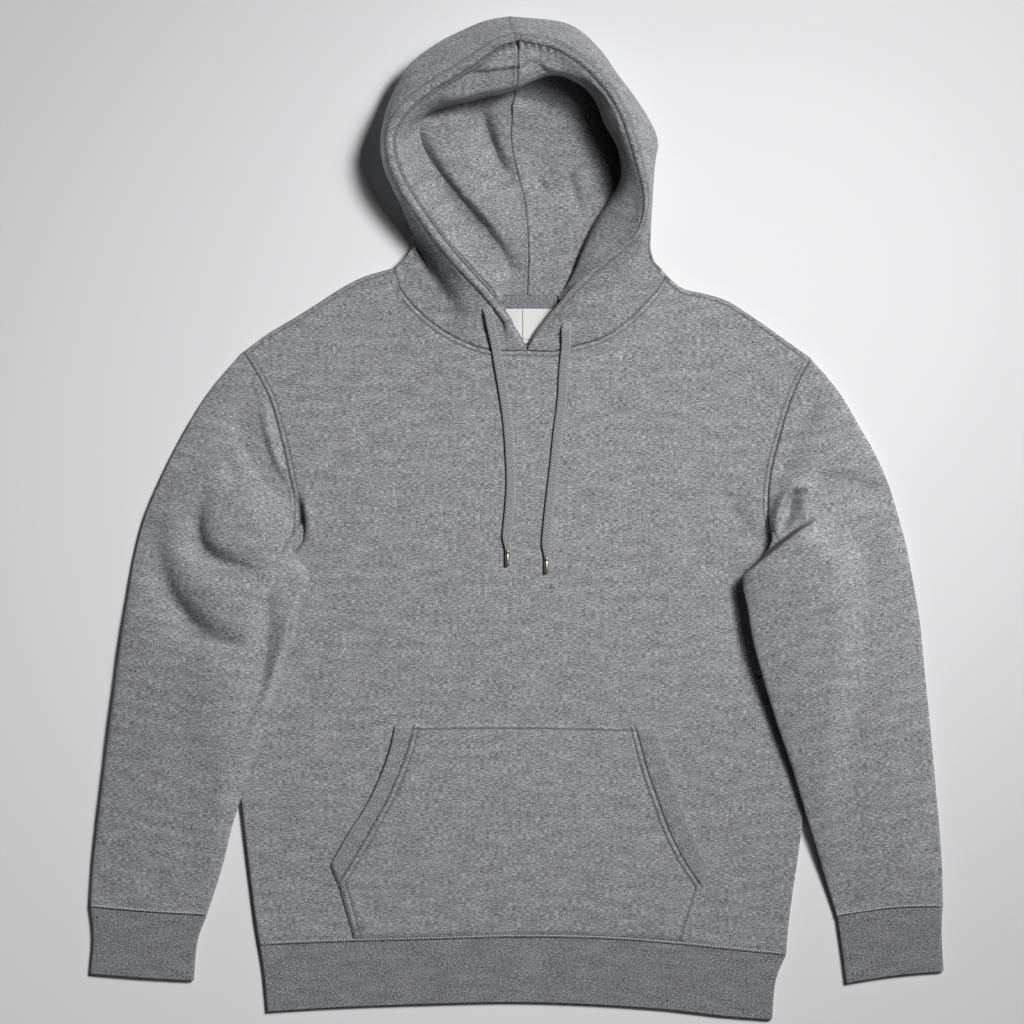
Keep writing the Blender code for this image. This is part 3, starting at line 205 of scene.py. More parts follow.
LEFT_SLEEVE_TROUGHS = [
    Trough([(818, 386), (799, 432), (785, 462), (777, 496)], 5.5, 8, 15),
    Trough([(810, 472), (836, 480), (856, 485), (892, 494)], 7.5, 20, 12),
    Trough([(781, 535), (785, 518), (790, 503), (797, 489)], 11.0, 8, 4),
    Trough([(774, 532), (778, 510), (786, 493), (799, 485), (815, 491)], -9.5, 5, 5),
    Trough([(803, 522), (804, 509), (803, 497)], -4.0, 7, 5),
    Trough([(742, 573), (760, 557.5), (779, 541.5), (795, 529), (813, 519)], 4.0, 2.0, 2.4),
    Trough([(770, 622), (792, 630), (814, 626)], 2.0, 10, 8),
    Trough([(838, 585), (826, 640), (832, 700)], 3.0, 18, 14),
]
CURL_REACH = 55.0       # how far down a sleeve its rings still follow the armhole's curve
RAMP_START = 8.0        # past the lap, how far a held sleeve stays up, then comes down in
RAMP_LENGTH = 42.0
# A lip is a step along a path: the cloth on its right-hand side stands higher.
Lip = namedtuple("Lip", "path height reach")
LEFT_SLEEVE_LIPS = [Lip([(730, 586), (745, 573), (760, 559), (779, 544), (800, 529),
                         (820, 516)], 6.0, 26)]
LIP_STEP, LIP_ENDS = 3.0, 4.0   # how wide the step itself is, and how soon it fades out
TROUGH_POWER = 1.6      # 2 is a round trough, 1 a sharp one
END_TAPER = 0.85        # how soon a trough gets shallow towards its ends
# Painted shade: darkness painted into the cloth's colour along these lines, in sharp folds where
# the cloth goes in under itself, beside the hood's roll and in the hollow under the rim; how wide
# each is and how dark
PaintedShadow = namedtuple("PaintedShadow", "path width dark")
PAINTED_SHADOWS = {
    "left": [PaintedShadow([(740, 576), (760, 559), (779, 543.5), (797, 530), (818, 518)], 2.1, 2.2)],
    "hood_right": [PaintedShadow([(396, 196), (404, 222), (423, 253), (443, 284), (459, 309), (466, 322)],
                          9.0, 1.45)],
    "lining": [PaintedShadow([(560, 66), (585, 80), (602, 101), (614, 126), (621, 152), (619, 178),
                       (608, 200)], 15.0, 1.35)],
    "front": [PaintedShadow([(298, 494), (302, 512), (302.7, 528), (299.5, 543), (292.5, 554)], 3.0, 2.4)],
}
# Soft mounds on the front
Mound = namedtuple("Mound", "across down reach_across reach_down height")
FRONT_MOUNDS = [
    Mound(300, 516, 12, 15, 6.2),   # beside the right armhole, where the sleeve pushes it up
    Mound(540, 620, 120, 150, 2.0),
    Mound(430, 780, 120, 60, 1.2),
]

# --- Hood: a row for each section, neck to crown ------------------------------------
# A row holds x, y and height of the rim, the hollow and the side, and x and y of the tuck.
# The rim is the top of the roll round the face opening; the hollow is the dip just outside
# it; the side is the outermost point; the tuck is where the cloth meets what is under it.
RIM, HOLLOW, SIDE, TUCK = 0, 3, 6, 9     # where each starts in a row
HOOD_RIGHT = [
    (507, 322, 17, 468, 325, 13, 399, 263, 10, 418, 274),
    (489, 298, 22, 455, 306, 14, 406, 257, 12, 430, 268),
    (468, 275, 28, 443, 284, 16, 414, 244, 14, 434, 252),
    (446, 250, 35, 428, 257, 22, 408, 231, 16, 432, 232),
    (425, 222, 41, 413, 226, 29, 402, 208, 18, 430, 212),
    (408, 197, 46, 400, 199, 37, 393, 190, 22, 426, 193),
    (396, 174, 50, 389, 175, 41, 384.5, 170, 24, 421, 172),
    (390, 150, 53, 384, 150, 44, 380.5, 147, 25, 419, 150),
    (392, 130, 55, 386, 127, 46, 383.5, 123, 26, 421, 129),
    (405, 110, 57, 397, 103, 47, 392, 97, 28, 427, 109),
    (426, 92, 59, 416, 81, 48, 409, 67, 29, 438, 89),
    (450, 77, 61, 441, 64, 50, 436, 45.5, 30, 456, 71),
    (474, 62, 63, 468, 49, 52, 462, 32, 31, 474, 56),
    (496, 47, 65, 491, 37, 54, 485, 22.5, 33, 490, 42),
    (516, 40, 66, 510, 30, 56, 506, 18, 34, 506, 29),
]
HOOD_LEFT = [
    (548, 322, 17, 590, 328, 13, 661, 269, 10, 640, 277),
    (562, 305, 21, 600, 309, 14, 654, 261, 12, 628, 266),
    (580, 285, 26, 610, 291, 16, 650.5, 249, 14, 620, 252),
    (600, 267, 32, 622, 272, 21, 650.5, 236, 17, 618, 234),
    (620, 251, 38, 636, 253, 28, 651, 222, 20, 618, 215),
    (637, 236, 44, 646, 234, 35, 652, 206, 22, 618, 196),
    (645, 213, 49, 650, 209, 40, 653, 187, 24, 618, 178),
    (645, 189, 53, 650.5, 184, 43, 655, 163, 26, 617, 160),
    (639, 165, 56, 648, 159, 46, 657.5, 142, 27, 614, 141),
    (632, 141, 58, 642, 133, 47, 649, 121, 28, 606, 122),
    (622, 114, 60, 631, 105, 49, 635, 99, 29, 594, 101),
    (606, 88, 62, 614, 78, 51, 617, 75, 30, 578, 82),
    (582, 64, 64, 590, 52, 53, 597, 48, 31, 556, 62),
    (552, 47, 65, 558, 35, 55, 566, 25, 33, 532, 45),
    (516, 40, 66, 510, 30, 56, 506, 18, 34, 506, 29),
]
CENTRE_BACK = [(527.5, 300), (528, 252), (524, 205), (516, 165), (512, 125), (509, 80),
               (506, 37)]
CENTRE_START = 0.03     # where the first section meets that seam
UNDER_DROP = 0.3        # how far the cloth has turned under, half way from side to tuck

# Lining: a row holds x, y and height of the wall and the foot, and the edge. The wall is
# half way down; the foot is where it meets the hood's back; the edge is how high the
# wall's lower edge stands over that.
WALL, FOOT, EDGE = 0, 3, 6
LINING_RIGHT = [
    (500, 304, 10, 505, 292, 7.2, 0),
    (497, 287, 13, 512, 277, 6, 0),
    (485, 262, 15, 503, 252, 5, 0),
    (466, 240, 18, 486, 228, 5, 0),
    (446, 215, 21, 465, 204, 5, 0),
    (427, 189, 24, 446, 181, 5, 0),
    (413, 168, 28, 431, 161, 6, 0),
    (405, 147, 32, 422, 143, 8, 0),
    (405, 130, 37, 420, 129, 11, 0),
    (423, 114, 37, 428, 117, 14, 0),
    (446, 104, 43, 449, 108, 17, 0),
    (464, 100, 45, 467, 104, 19, 0),
    (485, 95, 47, 487, 99, 20, 0),
    (504, 92, 48, 505, 95.5, 20, 0),
    (517, 88, 50, 515, 92, 20, 0),
]
LINING_LEFT = [
    (561, 306, 12, 558, 297, 7.6, 1),
    (568, 297, 14, 563, 290, 7.4, 3),
    (574, 284, 17, 568, 283, 7, 6),
    (584, 267, 21, 575, 268, 6.5, 8),
    (595, 251, 25, 581, 252, 6, 10),
    (610, 234, 29, 589, 233, 6, 10),
    (620, 214, 33, 598, 216, 6, 10),
    (626, 195, 37, 608, 201, 6, 10),
    (628, 169, 44, 620, 178, 7, 8),
    (620, 144, 48, 617, 149, 8, 4),
    (609, 122, 50, 605, 127, 9, 0),
    (597, 96, 51, 593, 99.5, 11, 0),
    (578, 80, 53, 576, 84, 14, 0),
    (552, 72, 54, 550, 77, 18, 0),
    (517, 88, 50, 515, 92, 20, 0),
]
LINING_CENTRE = [(527.5, 286, 6.9), (528.5, 252, 7), (524, 200, 7), (515, 165, 7.5),
                 (511, 138, 9), (512, 118, 12), (513, 108, 16)]
# The lining's own neck edge, inside the neck seam from centre front round to centre back
LINING_NECK_RIGHT = [(527, 346.5, 5.8), (487, 345, 5.5), (450, 330, 5.4), (428, 314, 5.3),
                     (413, 297, 5.1), (407, 285, 4.9), (407, 279, 4.8), (416, 282, 4.5),
                     (441, 289, 4.5), (480, 296.5, 4.5), (527.5, 297.5, 4.5)]
LINING_NECK_LEFT = [(527, 346.5, 5.8), (558, 346, 5.5), (600, 333, 5.4), (624, 316, 5.3),
                    (644, 296, 5.1), (652, 286.5, 4.9), (652, 281.5, 4.8), (643, 282, 4.5),
                    (614, 290, 4.5), (575, 296.5, 4.5), (527.5, 297.5, 4.5)]
LINING_FOLD = 6         # where that edge turns from the front to the back
EDGE_SHARE = 0.12       # how far up the lining's wall its lower edge is

# --- Pocket, labels, cords ------------------------------------------------------------
POCKET_BOTTOM = [(354, 938), (420, 936.5), (524, 934), (620, 936), (686, 940.5)]
POCKET_TOP = [(414, 724), (470, 723), (580, 724), (635, 725.5)]
POCKET_RIGHT_FOOT = [(354, 938), (346, 910), (338.5, 884)]   # sewn down, below the opening
POCKET_LEFT_FOOT = [(686, 940.5), (695, 912), (702.5, 888)]
POCKET_FOOT = 0.25      # share of the pocket's side edge that is sewn down
TRIM_RIGHT_OUTER = [(330.5, 865), (350, 831), (366, 806), (381, 775), (391, 746), (395.5, 724)]
TRIM_RIGHT_INNER = [(338.5, 884), (370, 831), (392, 789), (400, 770), (407.5, 750), (414, 724)]
TRIM_LEFT_OUTER = [(708.5, 866), (692, 831), (680, 799), (673, 778), (664, 752), (655.5, 727)]
TRIM_LEFT_INNER = [(702.5, 888), (685, 862), (667, 826), (658, 801), (649, 776), (635, 725.5)]
PATCH_CLEARANCE = 0.5   # pocket above the front
POCKET_PUFF = 2.2       # how far the pocket's middle stands off the front
POCKET_GAPE = 1.2       # how far each opening stands off it
NeckTape = namedtuple("NeckTape", "down height")
NECK_TAPE = [NeckTape(296.0, 7.0), NeckTape(300.0, 6.2), NeckTape(304.0, 4.9),
             NeckTape(308.0, 3.9)]
TAPE_POINTS = (60, 14)  # across and down
NECK_TAPE_ACROSS = (485, 571)
TAPE = 1.1
TAPE_DROP, TAPE_TUCK = 1.6, 12.0    # its ends go down under the lining
Label = namedtuple("Label", "left right top bottom height wall")
NECK_LABEL = Label(497.0, 562.0, 308.8, 343.0, 3.5, 0.8)
SIZE_LABEL = Label(523.0, 541.0, 309.4, 339.0, 4.5, 0.7)
LABEL_POINTS = (40, 30)
# Drawcords: (across, down) from where each leaves the rim to its metal end
RIGHT_CORD = [(484.5, 303.5), (489, 314), (490.5, 322), (494.5, 340), (499, 365), (503.5, 392),
              (507.5, 420), (510, 452), (511, 487), (509, 516), (507, 538), (507.4, 550)]
LEFT_CORD = [(569, 320), (567, 325), (566, 345), (563.5, 372), (562, 400), (558, 432),
             (555, 462), (551, 496), (548, 524), (546.4, 545), (546.4, 557)]

# --- Seams and folds that the solids leave out --------------------------------------------
SEEDS = {"front": 11, "back": 23, "right": 13, "left": 17, "hood": 31, "lining": 37,
         "pocket": 51, "hem": 71}
UNDERSIDE = 5           # added to a sleeve's seed for its lower layer
LATTICE = 64            # points a side of the random heights
LUMPS = ((95, 0.6), (41, 0.4), (17, 0.15))  # size and share of the unevenness
PATH_STEP = 0.5         # how finely a seam is sampled
DIP_WIDTH, RIDGE_WIDTH, GROOVE_WIDTH = 1.1, 1.3, 0.8
DARKEST_GROOVE = 0.8    # of a painted shade of 1
CROWN_SHADE, CENTRE_SHADE = 0.6, 0.8    # how dark the painted shade of those seams is of what it could be
SHADOW_LINE_TAPER = 0.6      # how soon a line of painted shade gets paler towards its ends
PUFF_TAPER = 0.7        # how full a tube is towards its two folds
PUFF_FADE = 4.0         # folds fade where there is less air than this in the tube

# Seams. How the cloth lies beside one, in mm off it: the depth of the seam itself, the
# height and place of the ridge over its turned edge, the depth and place of the topstitch.
SeamShape = namedtuple("SeamShape", "dip ridge ridge_at groove groove_at")
TWIN = SeamShape(0.65, 0.4, 2.4, 0.6, 4.8)
CROWN_SEAM = SeamShape(0.25, 0.35, 1.2, 0.8, 2.7)
PLAIN = SeamShape(0.6, 0.3, 2.6, 0.0, 4.8)
GATHER = SeamShape(0.5, 0.9, 2.4, 0.3, 5.0)
CUFF_GATHER = SeamShape(0.3, 0.5, 2.2, 0.0, 5.0)
NECK_TWIN = SeamShape(0.65, 0.4, 2.4, 0.8, 4.8)
PATCH_TOP = SeamShape(0.3, 0.4, 2.6, 0.9, 5.4)
PATCH_SIDE = SeamShape(0.6, 0.4, 2.6, 0.9, 5.4)
PATCH_FOOT = SeamShape(0.3, 0.4, 3.4, 0.9, 7.0)
CENTRE_SEAM = SeamShape(0.7, 0.4, 2.2, 0.0, 4.8)
STITCH = (2.7, 1.9, 0.62, 0.12)     # pitch, length, width and lift of a stitch
BEAD = (2.9, 2.3, 1.7, 0.45)        # the cover stitches that hold the ribs
BEADS_AT, BEADS_START = 1.9, 0.01   # off the seam, and where along it
FOOT_EDGE = 1.6         # the pocket's second row of stitches below its openings
UNDERARM_SKIP = 0.12    # share of the armhole, from the underarm, that has no top row
STITCH_SIDES, STITCH_FLAT = 6, 0.8  # of its section, and its height as a share of its width
STITCH_AHEAD = 0.4      # mm on along the line, to see which way it runs
# Shares of its length, from its middle, and of its width there
STITCH_PROFILE = [(-0.5, 0.35), (-0.25, 1.0), (0.25, 1.0), (0.5, 0.35)]
DROP_FROM, RISE_FROM = 0.3, -0.05   # metres, where the search for the cloth starts
SIDE_FADE = 9.0         # the body's relief ends in its folded sides
EDGE_WALL, EDGE_ROUND = 0.4, 2.2    # how thin a patch is at its sewn edges, and over how far

# Rows of stitches along the face opening: how far past the roll, and how deep they press
RimRow = namedtuple("RimRow", "past depth")
OUTER_ROWS = {"right": [RimRow(0.6, 0.7)], "left": [RimRow(-2.8, 0.8), RimRow(0.6, 0.6)]}
LINING_ROWS = {"right": [RimRow(1.0, 1.2), RimRow(4.3, 1.0)], "left": []}
# How wide the rows press, and how dark they are: dark thread and painted shade in their grooves
RIM_ROW_WIDTH, RIM_ROW_SHADE = 0.9, 1.3
ROLL_FADE = 5.0         # columns past the roll over which the folds start
OUTER_START, LINING_START = 4, 6    # rows from the neck over which they start
ROW_START, CENTRE_ROWS, FILL_ROWS = 3, 2, 40    # the same for stitches, seam and fill
ROLL_INWARD = 3.0       # how far before the roll's last column the lining's fill starts
PUCKER_INWARD = 4.0     # and its gathers
UNDER_TOP = 3.0         # cloth lower than this is turned under
ON_FLOOR = 0.01         # and lower than this lies on the floor
LINING_FLOOR = 0.3      # the lining's lowest height
RIM_FILL = {"right": 1.5, "left": 3.5}      # the lining comes up to the roll without a step
RIM_FILL_REACH = 8.0
SEAM_EASE = 12.0        # over this far the cloth bends to the straight seam over the crown
UV_CLIMB = 0.6          # how much of its height the hood's cloth is longer than the plan

# The unevenness of each piece, and the bands
FRONT_LUMPS, BACK_LUMPS, SLEEVE_LUMPS, HEM_LUMPS = 0.9, 0.7, 1.0, 0.25
HEM_DIP = 0.3           # the hem's unevenness goes no deeper
HOOD_LUMPS, LINING_LUMPS, POCKET_LUMPS = 0.8, 0.9, 0.5
CUFF_CALM = 14.0        # over this far the unevenness fades towards the cuff's seam
SLEEVE_LENGTH = 590.0
SLEEVE_GRAIN = {"right": -13.0, "left": 13.0}   # degrees from level that its courses run
ARMHOLE_STEPS = np.array([0, 0.7, 1.4, 2.1, 2.8, 3.6, 4.6, 6.0, 8.0])
CUFF_STEPS = np.array([0, 0.6, 1.2, 1.9, 2.6, 3.4, 4.4, 5.8, 8.0])
RIGHT_CUFF_SEAM = [(90.5, 907), (146, 912), (207, 915.5)]
LEFT_CUFF_SEAM = [(943.0, 907), (896, 908), (866, 912), (836, 916.5)]
HEM_COLUMNS = 860
HEM_FOLD_ROOM = 1.15    # room for the band's folded ends, in fold radii
RIB_PITCH, RIB_HEIGHT, TRIM_RIB = 2.35, 0.13, 0.12
TRIM_ROWS = 300
TRIM_COLUMNS = np.array([0.0, 0.03, 0.07, 0.13, 0.25, 0.4, 0.6, 0.75, 0.87, 0.93, 0.97, 1.0])
TRIM_CLEAR = 1.5 * SEAM_GAP     # between the pocket's edge and its trim
TRIM_EDGE, TRIM_ROUND, TRIM_SHADE = 0.05, 0.9, 0.8  # share across and drop at edges, and painted shade at the sewn edge
POCKET_TAPER = 0.8      # how full the pocket is towards its edges
LABEL_WAVE, LABEL_WAVE_ACROSS, LABEL_WAVE_DOWN = 0.25, 0.19, 0.07

# Shallower folds
FRONT_TROUGHS = [
    Trough([(714, 474), (727, 500), (742, 522), (764, 548)], 2.4, 12, 9),
    Trough([(298, 492), (301, 511), (301.7, 528), (298.5, 543), (291, 556)], 8.5, 4.4, 3.6),
    Trough([(722, 552), (734, 590), (738, 640), (745, 700)], 3.5, 15, 15),
    Trough([(330, 600), (345, 680), (335, 760)], 0.8, 26, 26),
]
BACK_TROUGHS = [Trough([(330, 380), (420, 520), (400, 700)], 1.0, 18, 18),
                Trough([(640, 420), (600, 560), (640, 760)], 1.0, 22, 22)]
BACK_SLEEVE_TROUGHS = {
    "right": [Trough([(200, 480), (180, 560), (190, 640)], 2.0, 14, 14)],
    "left": [Trough([(850, 480), (860, 560), (850, 640)], 2.0, 14, 14)],
}
HOOD_TROUGHS = {
    "right": [Trough([(476, 315), (478.5, 306), (484.5, 300.5), (490.5, 303), (493, 310)],
                     -1.6, 2.2, 2.2),
              Trough([(400, 200), (413, 230), (428, 259), (445, 288), (462, 313)], 9.0, 9, 14)],
    "left": [],
}
LINING_TROUGHS = [
    Trough([(422, 112), (435, 150), (459, 187), (490, 221), (525, 270)], -20.0, 12, 38),
    Trough([(482, 104), (487, 130), (496, 156), (514, 186)], 12.0, 13, 7),
    Trough([(458, 166), (480, 178), (500, 186), (522, 190)], 2.5, 4, 4),
    Trough([(536, 176), (541, 184), (545, 194)], 3.0, 5, 4),
    Trough([(566, 166), (573, 188), (580, 214)], 4.0, 7, 5),
    Trough([(500, 92), (530, 100), (560, 104)], 2.5, 7, 7),
]
LINING_LIPS = [
    Lip([(540, 54), (532, 63), (522, 69), (510, 70.5), (496, 72.5), (478, 73.5), (460, 75)],
        5.5, 12),
    Lip([(527, 66), (523, 79), (513, 90), (500, 92.5), (480, 96), (462, 101), (440, 107)],
        4.0, 12),
    Lip([(622, 140), (610, 108), (590, 86), (570, 79), (550, 73), (533, 63)], 4.0, 10),
]
LINING_LIP_STEP, LINING_LIP_ENDS = 2.6, 8.0     # these are wider, and end sooner

# Gathers of the roll over the crown
PUCKER_CENTRE, PUCKER_REACH, PUCKER_PITCH, PUCKER_HEIGHT = 535.0, 30.0, 7.4, 1.3
PUCKER_DEPTH = 9.0      # how far in from the roll it shows
PUCKER_LOWEST = 80.0    # it ends this far down the mat

# Cords
CORD_SIDES, CORD_POINTS = 28, 160
CORD_SQUARENESS = (0.75, 0.6)   # of its rounded section, across and up
TIP_POINTS, TIP_WIDTH = 9, 0.45     # the braid narrows into its metal end
CORD_SINK, CORD_SINK_LENGTH = 5.0, 12.0     # it comes out from under the roll
CORD_GROOVE, CORD_GROOVE_WIDTH = 0.25, 0.9   # down the middle of its flat sides
# Metal end: mm down from the cord's end, and radius
AGLET_PROFILE = [(0.0, 1.5), (0.25, 1.85), (0.7, 2.0), (3.0, 2.0), (3.5, 1.85), (4.0, 1.85),
                 (4.5, 2.0), (14.6, 2.0), (15.2, 1.9), (15.5, 1.6)]
AGLET_SIDES = 32

# --- Camera and light ----------------------------------------------------------------------
VIEW_CENTRE = (512.0, 512.0)
VIEW_WIDTH = 1.024      # metres across the picture
CAMERA_HEIGHT = 9.0
SENSOR, VIEW_END = 36.0, 100.0
FLOOR_HALF, FLOOR_Z = 30.0, -0.0004
FLOOR_COLOUR = (0.78, 0.78, 0.79, 1.0)
LIGHT_PLACE = (1.25, 1.0, 1.85)
SUN_POWER, SUN_ANGLE = 2.12, 13     # degrees
POOL_SIZE, POOL_POWER, POOL_SPREAD, POOL_AIM = 1.0, 2.5, 38, (0.12, 0.13, 0.0)
BACKDROP_RADIUS, BACKDROP_GLOW, BACKDROP_COLOUR = 40.0, 0.72, (0.98, 0.98, 1.0, 1.0)
SKY_COLOUR = (0.95, 0.97, 1.0, 1.0)
SKY_GLOW, RIM_GLOW, RIM_REACH = 0.01, 2.6, 0.06   # straight above; near the floor; how high
FAR_SIDE = (-2.3, -1.9, 0.0)    # towards the side the sun leaves dark, by how much it glows more

# --- Materials: sizes in metres ----------------------------------------------------------
GREY_TINT = (0.985, 0.995, 1.04)
WAVER_SIZE, WAVER = (0.014, 0.014), 0.006   # the courses aren't quite straight
BROAD_SIZE = (0.030, 0.008)
STREAK_SHARE, SPECK_SHARE, BROAD_SHARE = 0.50, 0.36, 0.14
MARL_STOPS = (0.37, 0.5, 0.63)  # where the dark, middle and light fibres are
# Painted shade: how far the cloth's shade attribute darkens its colour, and towards what
SHADE_DEPTH, SHADE_COLOUR = 0.6, (0.02, 0.02, 0.022, 1.0)
NAP_SIZE, NAP_STREAKS = (0.6, 0.8), 0.4     # of a speck; how much the streaks add
NAP_BUMP, WEAVE_BUMP, LABEL_BUMP, THREAD_BUMP = 0.4, 0.6, 0.25, 0.4
NAP_DEPTH, THREAD_DEPTH = 0.0006, 0.0002
# The sizes of a streak and of a speck in plain knit and in rib
PLAIN_KNIT = (0.0046, 0.00085), (0.0023, 0.0006)
RIB_KNIT = (0.0026, 0.0011), (0.0014, 0.0009)
# Woven goods: width of a chevron, distance between its threads, size of a speck, how much
# the threads show, places and levels of grey, depth and sheen
TAPE_WEAVE = (0.0045, 0.0027, (0.0024, 0.0009), 0.05, [(0.36, 0.09), (0.64, 0.40)],
              0.0003, 0.0)
CORD_WEAVE = (0.0024, 0.0030, (0.001, 0.0016), 0.08, [(0.2, 0.10), (0.5, 0.27), (0.8, 0.52)],
              0.0006, 0.1)
LABEL_THREAD, SEWING_THREAD = (0.004, 0.0004), (0.0006, 0.0006)
LABEL_COLOURS = [(0.3, (0.62, 0.62, 0.6)), (0.7, (0.74, 0.74, 0.72))]
METAL_COLOURS = [(0.3, (0.36, 0.33, 0.27)), (0.7, (0.56, 0.52, 0.44))]
METAL_GRAIN, METAL_ROUGHNESS = (2500.0, 300.0, 2500.0), (0.22, 0.4)


# --- Curves --------------------------------------------------------------------------
def mat(points):
    """Mat readings (across, down, and any height) as points of the part's frame, in mm."""
    found = np.array(points, float)
    found[..., 0] -= MAT_CENTRE[0]
    found[..., 1] = MAT_CENTRE[1] - found[..., 1]
    return found


def run_length(points):
    """Distance along a line of points, from its first one."""
    return np.concatenate([[0.0], np.cumsum(np.linalg.norm(np.diff(points, axis=0), axis=-1))])


def through(points, knots=None):
    """A smooth curve through the points, as a function of 0..1 along it."""
    points = np.array(points, float)
    knots = run_length(points) if knots is None else np.array(knots, float)
    knots = knots / knots[-1]
    slopes = np.gradient(points, knots, axis=0)

    def at(t):
        t = np.clip(np.asarray(t, float), 0.0, 1.0)
        i = np.clip(np.searchsorted(knots, t, side="right") - 1, 0, len(knots) - 2)
        span = (knots[i + 1] - knots[i])[..., None]
        s = (t - knots[i])[..., None] / span
        a, b = points[i], points[i + 1]
        return (a * (1 + 2 * s) * (1 - s) ** 2 + b * s * s * (3 - 2 * s)
                + slopes[i] * span * s * (1 - s) ** 2 - slopes[i + 1] * span * s * s * (1 - s))

    return at


def traced(path):
    """The smooth curve through a line of mat readings."""
    return through(mat(path))


def joined(curves, shares):
    """Curves end to end as one function of 0..1; shares are where each next one starts."""
    ends = [0.0, *shares, 1.0]

    def at(t):
        t = np.asarray(t, float)
        found = np.zeros(t.shape + (2,))
        for curve, start, end in zip(curves, ends, ends[1:]):
            here = (t >= start) if end == 1.0 else (t >= start) & (t < end)
            found[here] = curve((t[here] - start) / (end - start))
        return found

    return at


def reverse(curve):
    """The same curve from its other end."""
    return lambda t: curve(1.0 - np.asarray(t, float))


def smooth(x):
    """0 below 0 and 1 above 1, with an easy rise between."""
    x = np.clip(x, 0.0, 1.0)
    return x * x * (3 - 2 * x)


# --- Distances over a grid of points -------------------------------------------------
def along_rows(grid, start):
    """Distance along each row from one of its columns."""
    steps = np.linalg.norm(np.diff(grid, axis=1), axis=-1)
    run = np.concatenate([np.zeros((len(grid), 1)), np.cumsum(steps, axis=1)], axis=1)
    return run - run[:, start, None]


def run_back(grid):
    """Distance from the centre seam, which is the last column and the last row."""
    run = along_rows(grid, grid.shape[1] - 1)
    falls = np.linalg.norm(np.diff(grid[::-1], axis=0), axis=-1)
    up = np.concatenate([np.zeros((1, grid.shape[1])), np.cumsum(falls, axis=0)])[::-1]
    return np.minimum(np.abs(run), up)


def rows_past(grid, count):
    """0 at the neck, rising to 1 where the hood's own rows start."""
    return smooth((np.arange(len(grid)) - NECK_ROWS / 2) / count)[:, None]


def row_at(grid, start, past):
    """The line over the grid's rows at that distance past one of its columns."""
    return np.array([[np.interp(past, run, points[:, k]) for k in range(3)]
                     for run, points in zip(along_rows(grid, start), grid)])


# --- Heights on the plan -------------------------------------------------------------
def nearest(path, plan, samples=NEAREST_SAMPLES):
    """How far each plan point is from the path, on which side, and how far along it."""
    line = traced(path)(np.linspace(0, 1, samples))
    gap = plan[..., None, :] - line
    distance = np.hypot(gap[..., 0], gap[..., 1])
    index = distance.argmin(-1)
    run = np.gradient(line, axis=0)[index]
    off = np.take_along_axis(gap, index[..., None, None], -2)[..., 0, :]
    side = np.sign(off[..., 0] * run[..., 1] - off[..., 1] * run[..., 0])
    return distance.min(-1), side, index / (samples - 1)


def trough_depth(troughs, plan):
    """How deep the troughs press each plan point."""
    total = np.zeros(plan.shape[:-1])
    for trough in troughs:
        distance, side, along = nearest(trough.path, plan)
        taper = np.sin(np.pi * np.clip(along, 0.0, 1.0)) ** END_TAPER
        width = np.where(side > 0, trough.right, trough.left)
        total += trough.depth * taper * np.exp(-(distance / width) ** TROUGH_POWER)
    return total


def lip_height(lips, plan, step=LIP_STEP, fade=LIP_ENDS):
    """How high the lips lift each plan point."""
    total = np.zeros(plan.shape[:-1])
    for lip in lips:
        distance, side, along = nearest(lip.path, plan)
        rise = smooth(0.5 + side * distance / step)
        ends = smooth(fade * along) * smooth(fade * (1 - along))
        total += lip.height * ends * rise * np.exp(-(distance / lip.reach) ** 2)
    return total


def front_rise(plan):
    """How far the front stands above two flat layers."""
    neck = np.minimum(nearest(FRONT_NECK_RIGHT, plan)[0], nearest(FRONT_NECK_LEFT, plan)[0])
    rise = NECK_RISE * np.exp(-(neck / NECK_REACH) ** 2)
    for mound in FRONT_MOUNDS:
        away = (plan - mat([mound.across, mound.down])) / [mound.reach_across, mound.reach_down]
        rise = rise + mound.height * np.exp(-(away ** 2).sum(-1))
    return rise


# --- Panels: flattened layers between four edges --------------------------------------
def coons(bottom, top, right, left, u, v):
    """Plan points of a patch between four edge curves; u runs right to left (-X to +X)."""
    u, v = np.broadcast_arrays(u, v)
    a, b = u[..., None], v[..., None]
    corners = ((1 - a) * (1 - b) * bottom(np.zeros(1)) + a * (1 - b) * bottom(np.ones(1))
               + (1 - a) * b * top(np.zeros(1)) + a * b * top(np.ones(1)))
    return (1 - b) * bottom(u) + b * top(u) + (1 - a) * right(v) + a * left(v) - corners


def round_in(angle, inset):
    """Distance in from a folded edge at an angle round it."""
    return inset + (FOLD_RADIUS - inset) * (1 - np.cos(angle) ** FOLD_POWER)


def body_edges(neck_right, neck_left):
    """The hem seam, the top edge and the two sides of a body panel."""
    right_side = joined([traced(RIGHT_SIDE), traced(RIGHT_ARMHOLE)], [UNDERARM])
    left_side = joined([traced(LEFT_SIDE), traced(LEFT_ARMHOLE)], [UNDERARM])
    top = joined([traced(RIGHT_SHOULDER), reverse(traced(neck_right)),
                  traced(neck_left), reverse(traced(LEFT_SHOULDER))], NECK_SHARES)
    return traced(HEM_SEAM), top, right_side, left_side


def shares_of(width, step, near):
    """Shares of a width, closest together beside its two ends."""
    near = near / width
    middle = np.linspace(near[-1], 1 - near[-1], int(width / step))
    return np.concatenate([near[:-1], middle, 1 - near[-2::-1]])


def with_folds(shares):
    """The shares, with a 0 or a 1 for each column of the folds at their two ends."""
    folds = len(FOLD_ANGLES)
    return np.concatenate([np.zeros(folds), shares, np.ones(folds)])


def body_steps(step):
    """u and v of the body's grid."""
    u = with_folds(shares_of(BODY_WIDTH, step, EDGE_STEPS))
    v = with_folds(shares_of(BODY_HEIGHT, step, EDGE_STEPS))
    for line, shares in ((u, NECK_SHARES), (v, (UNDERARM,))):
        for share in shares:
            line[np.abs(line - share).argmin()] = share
    return u, v[len(FOLD_ANGLES) - 1:]


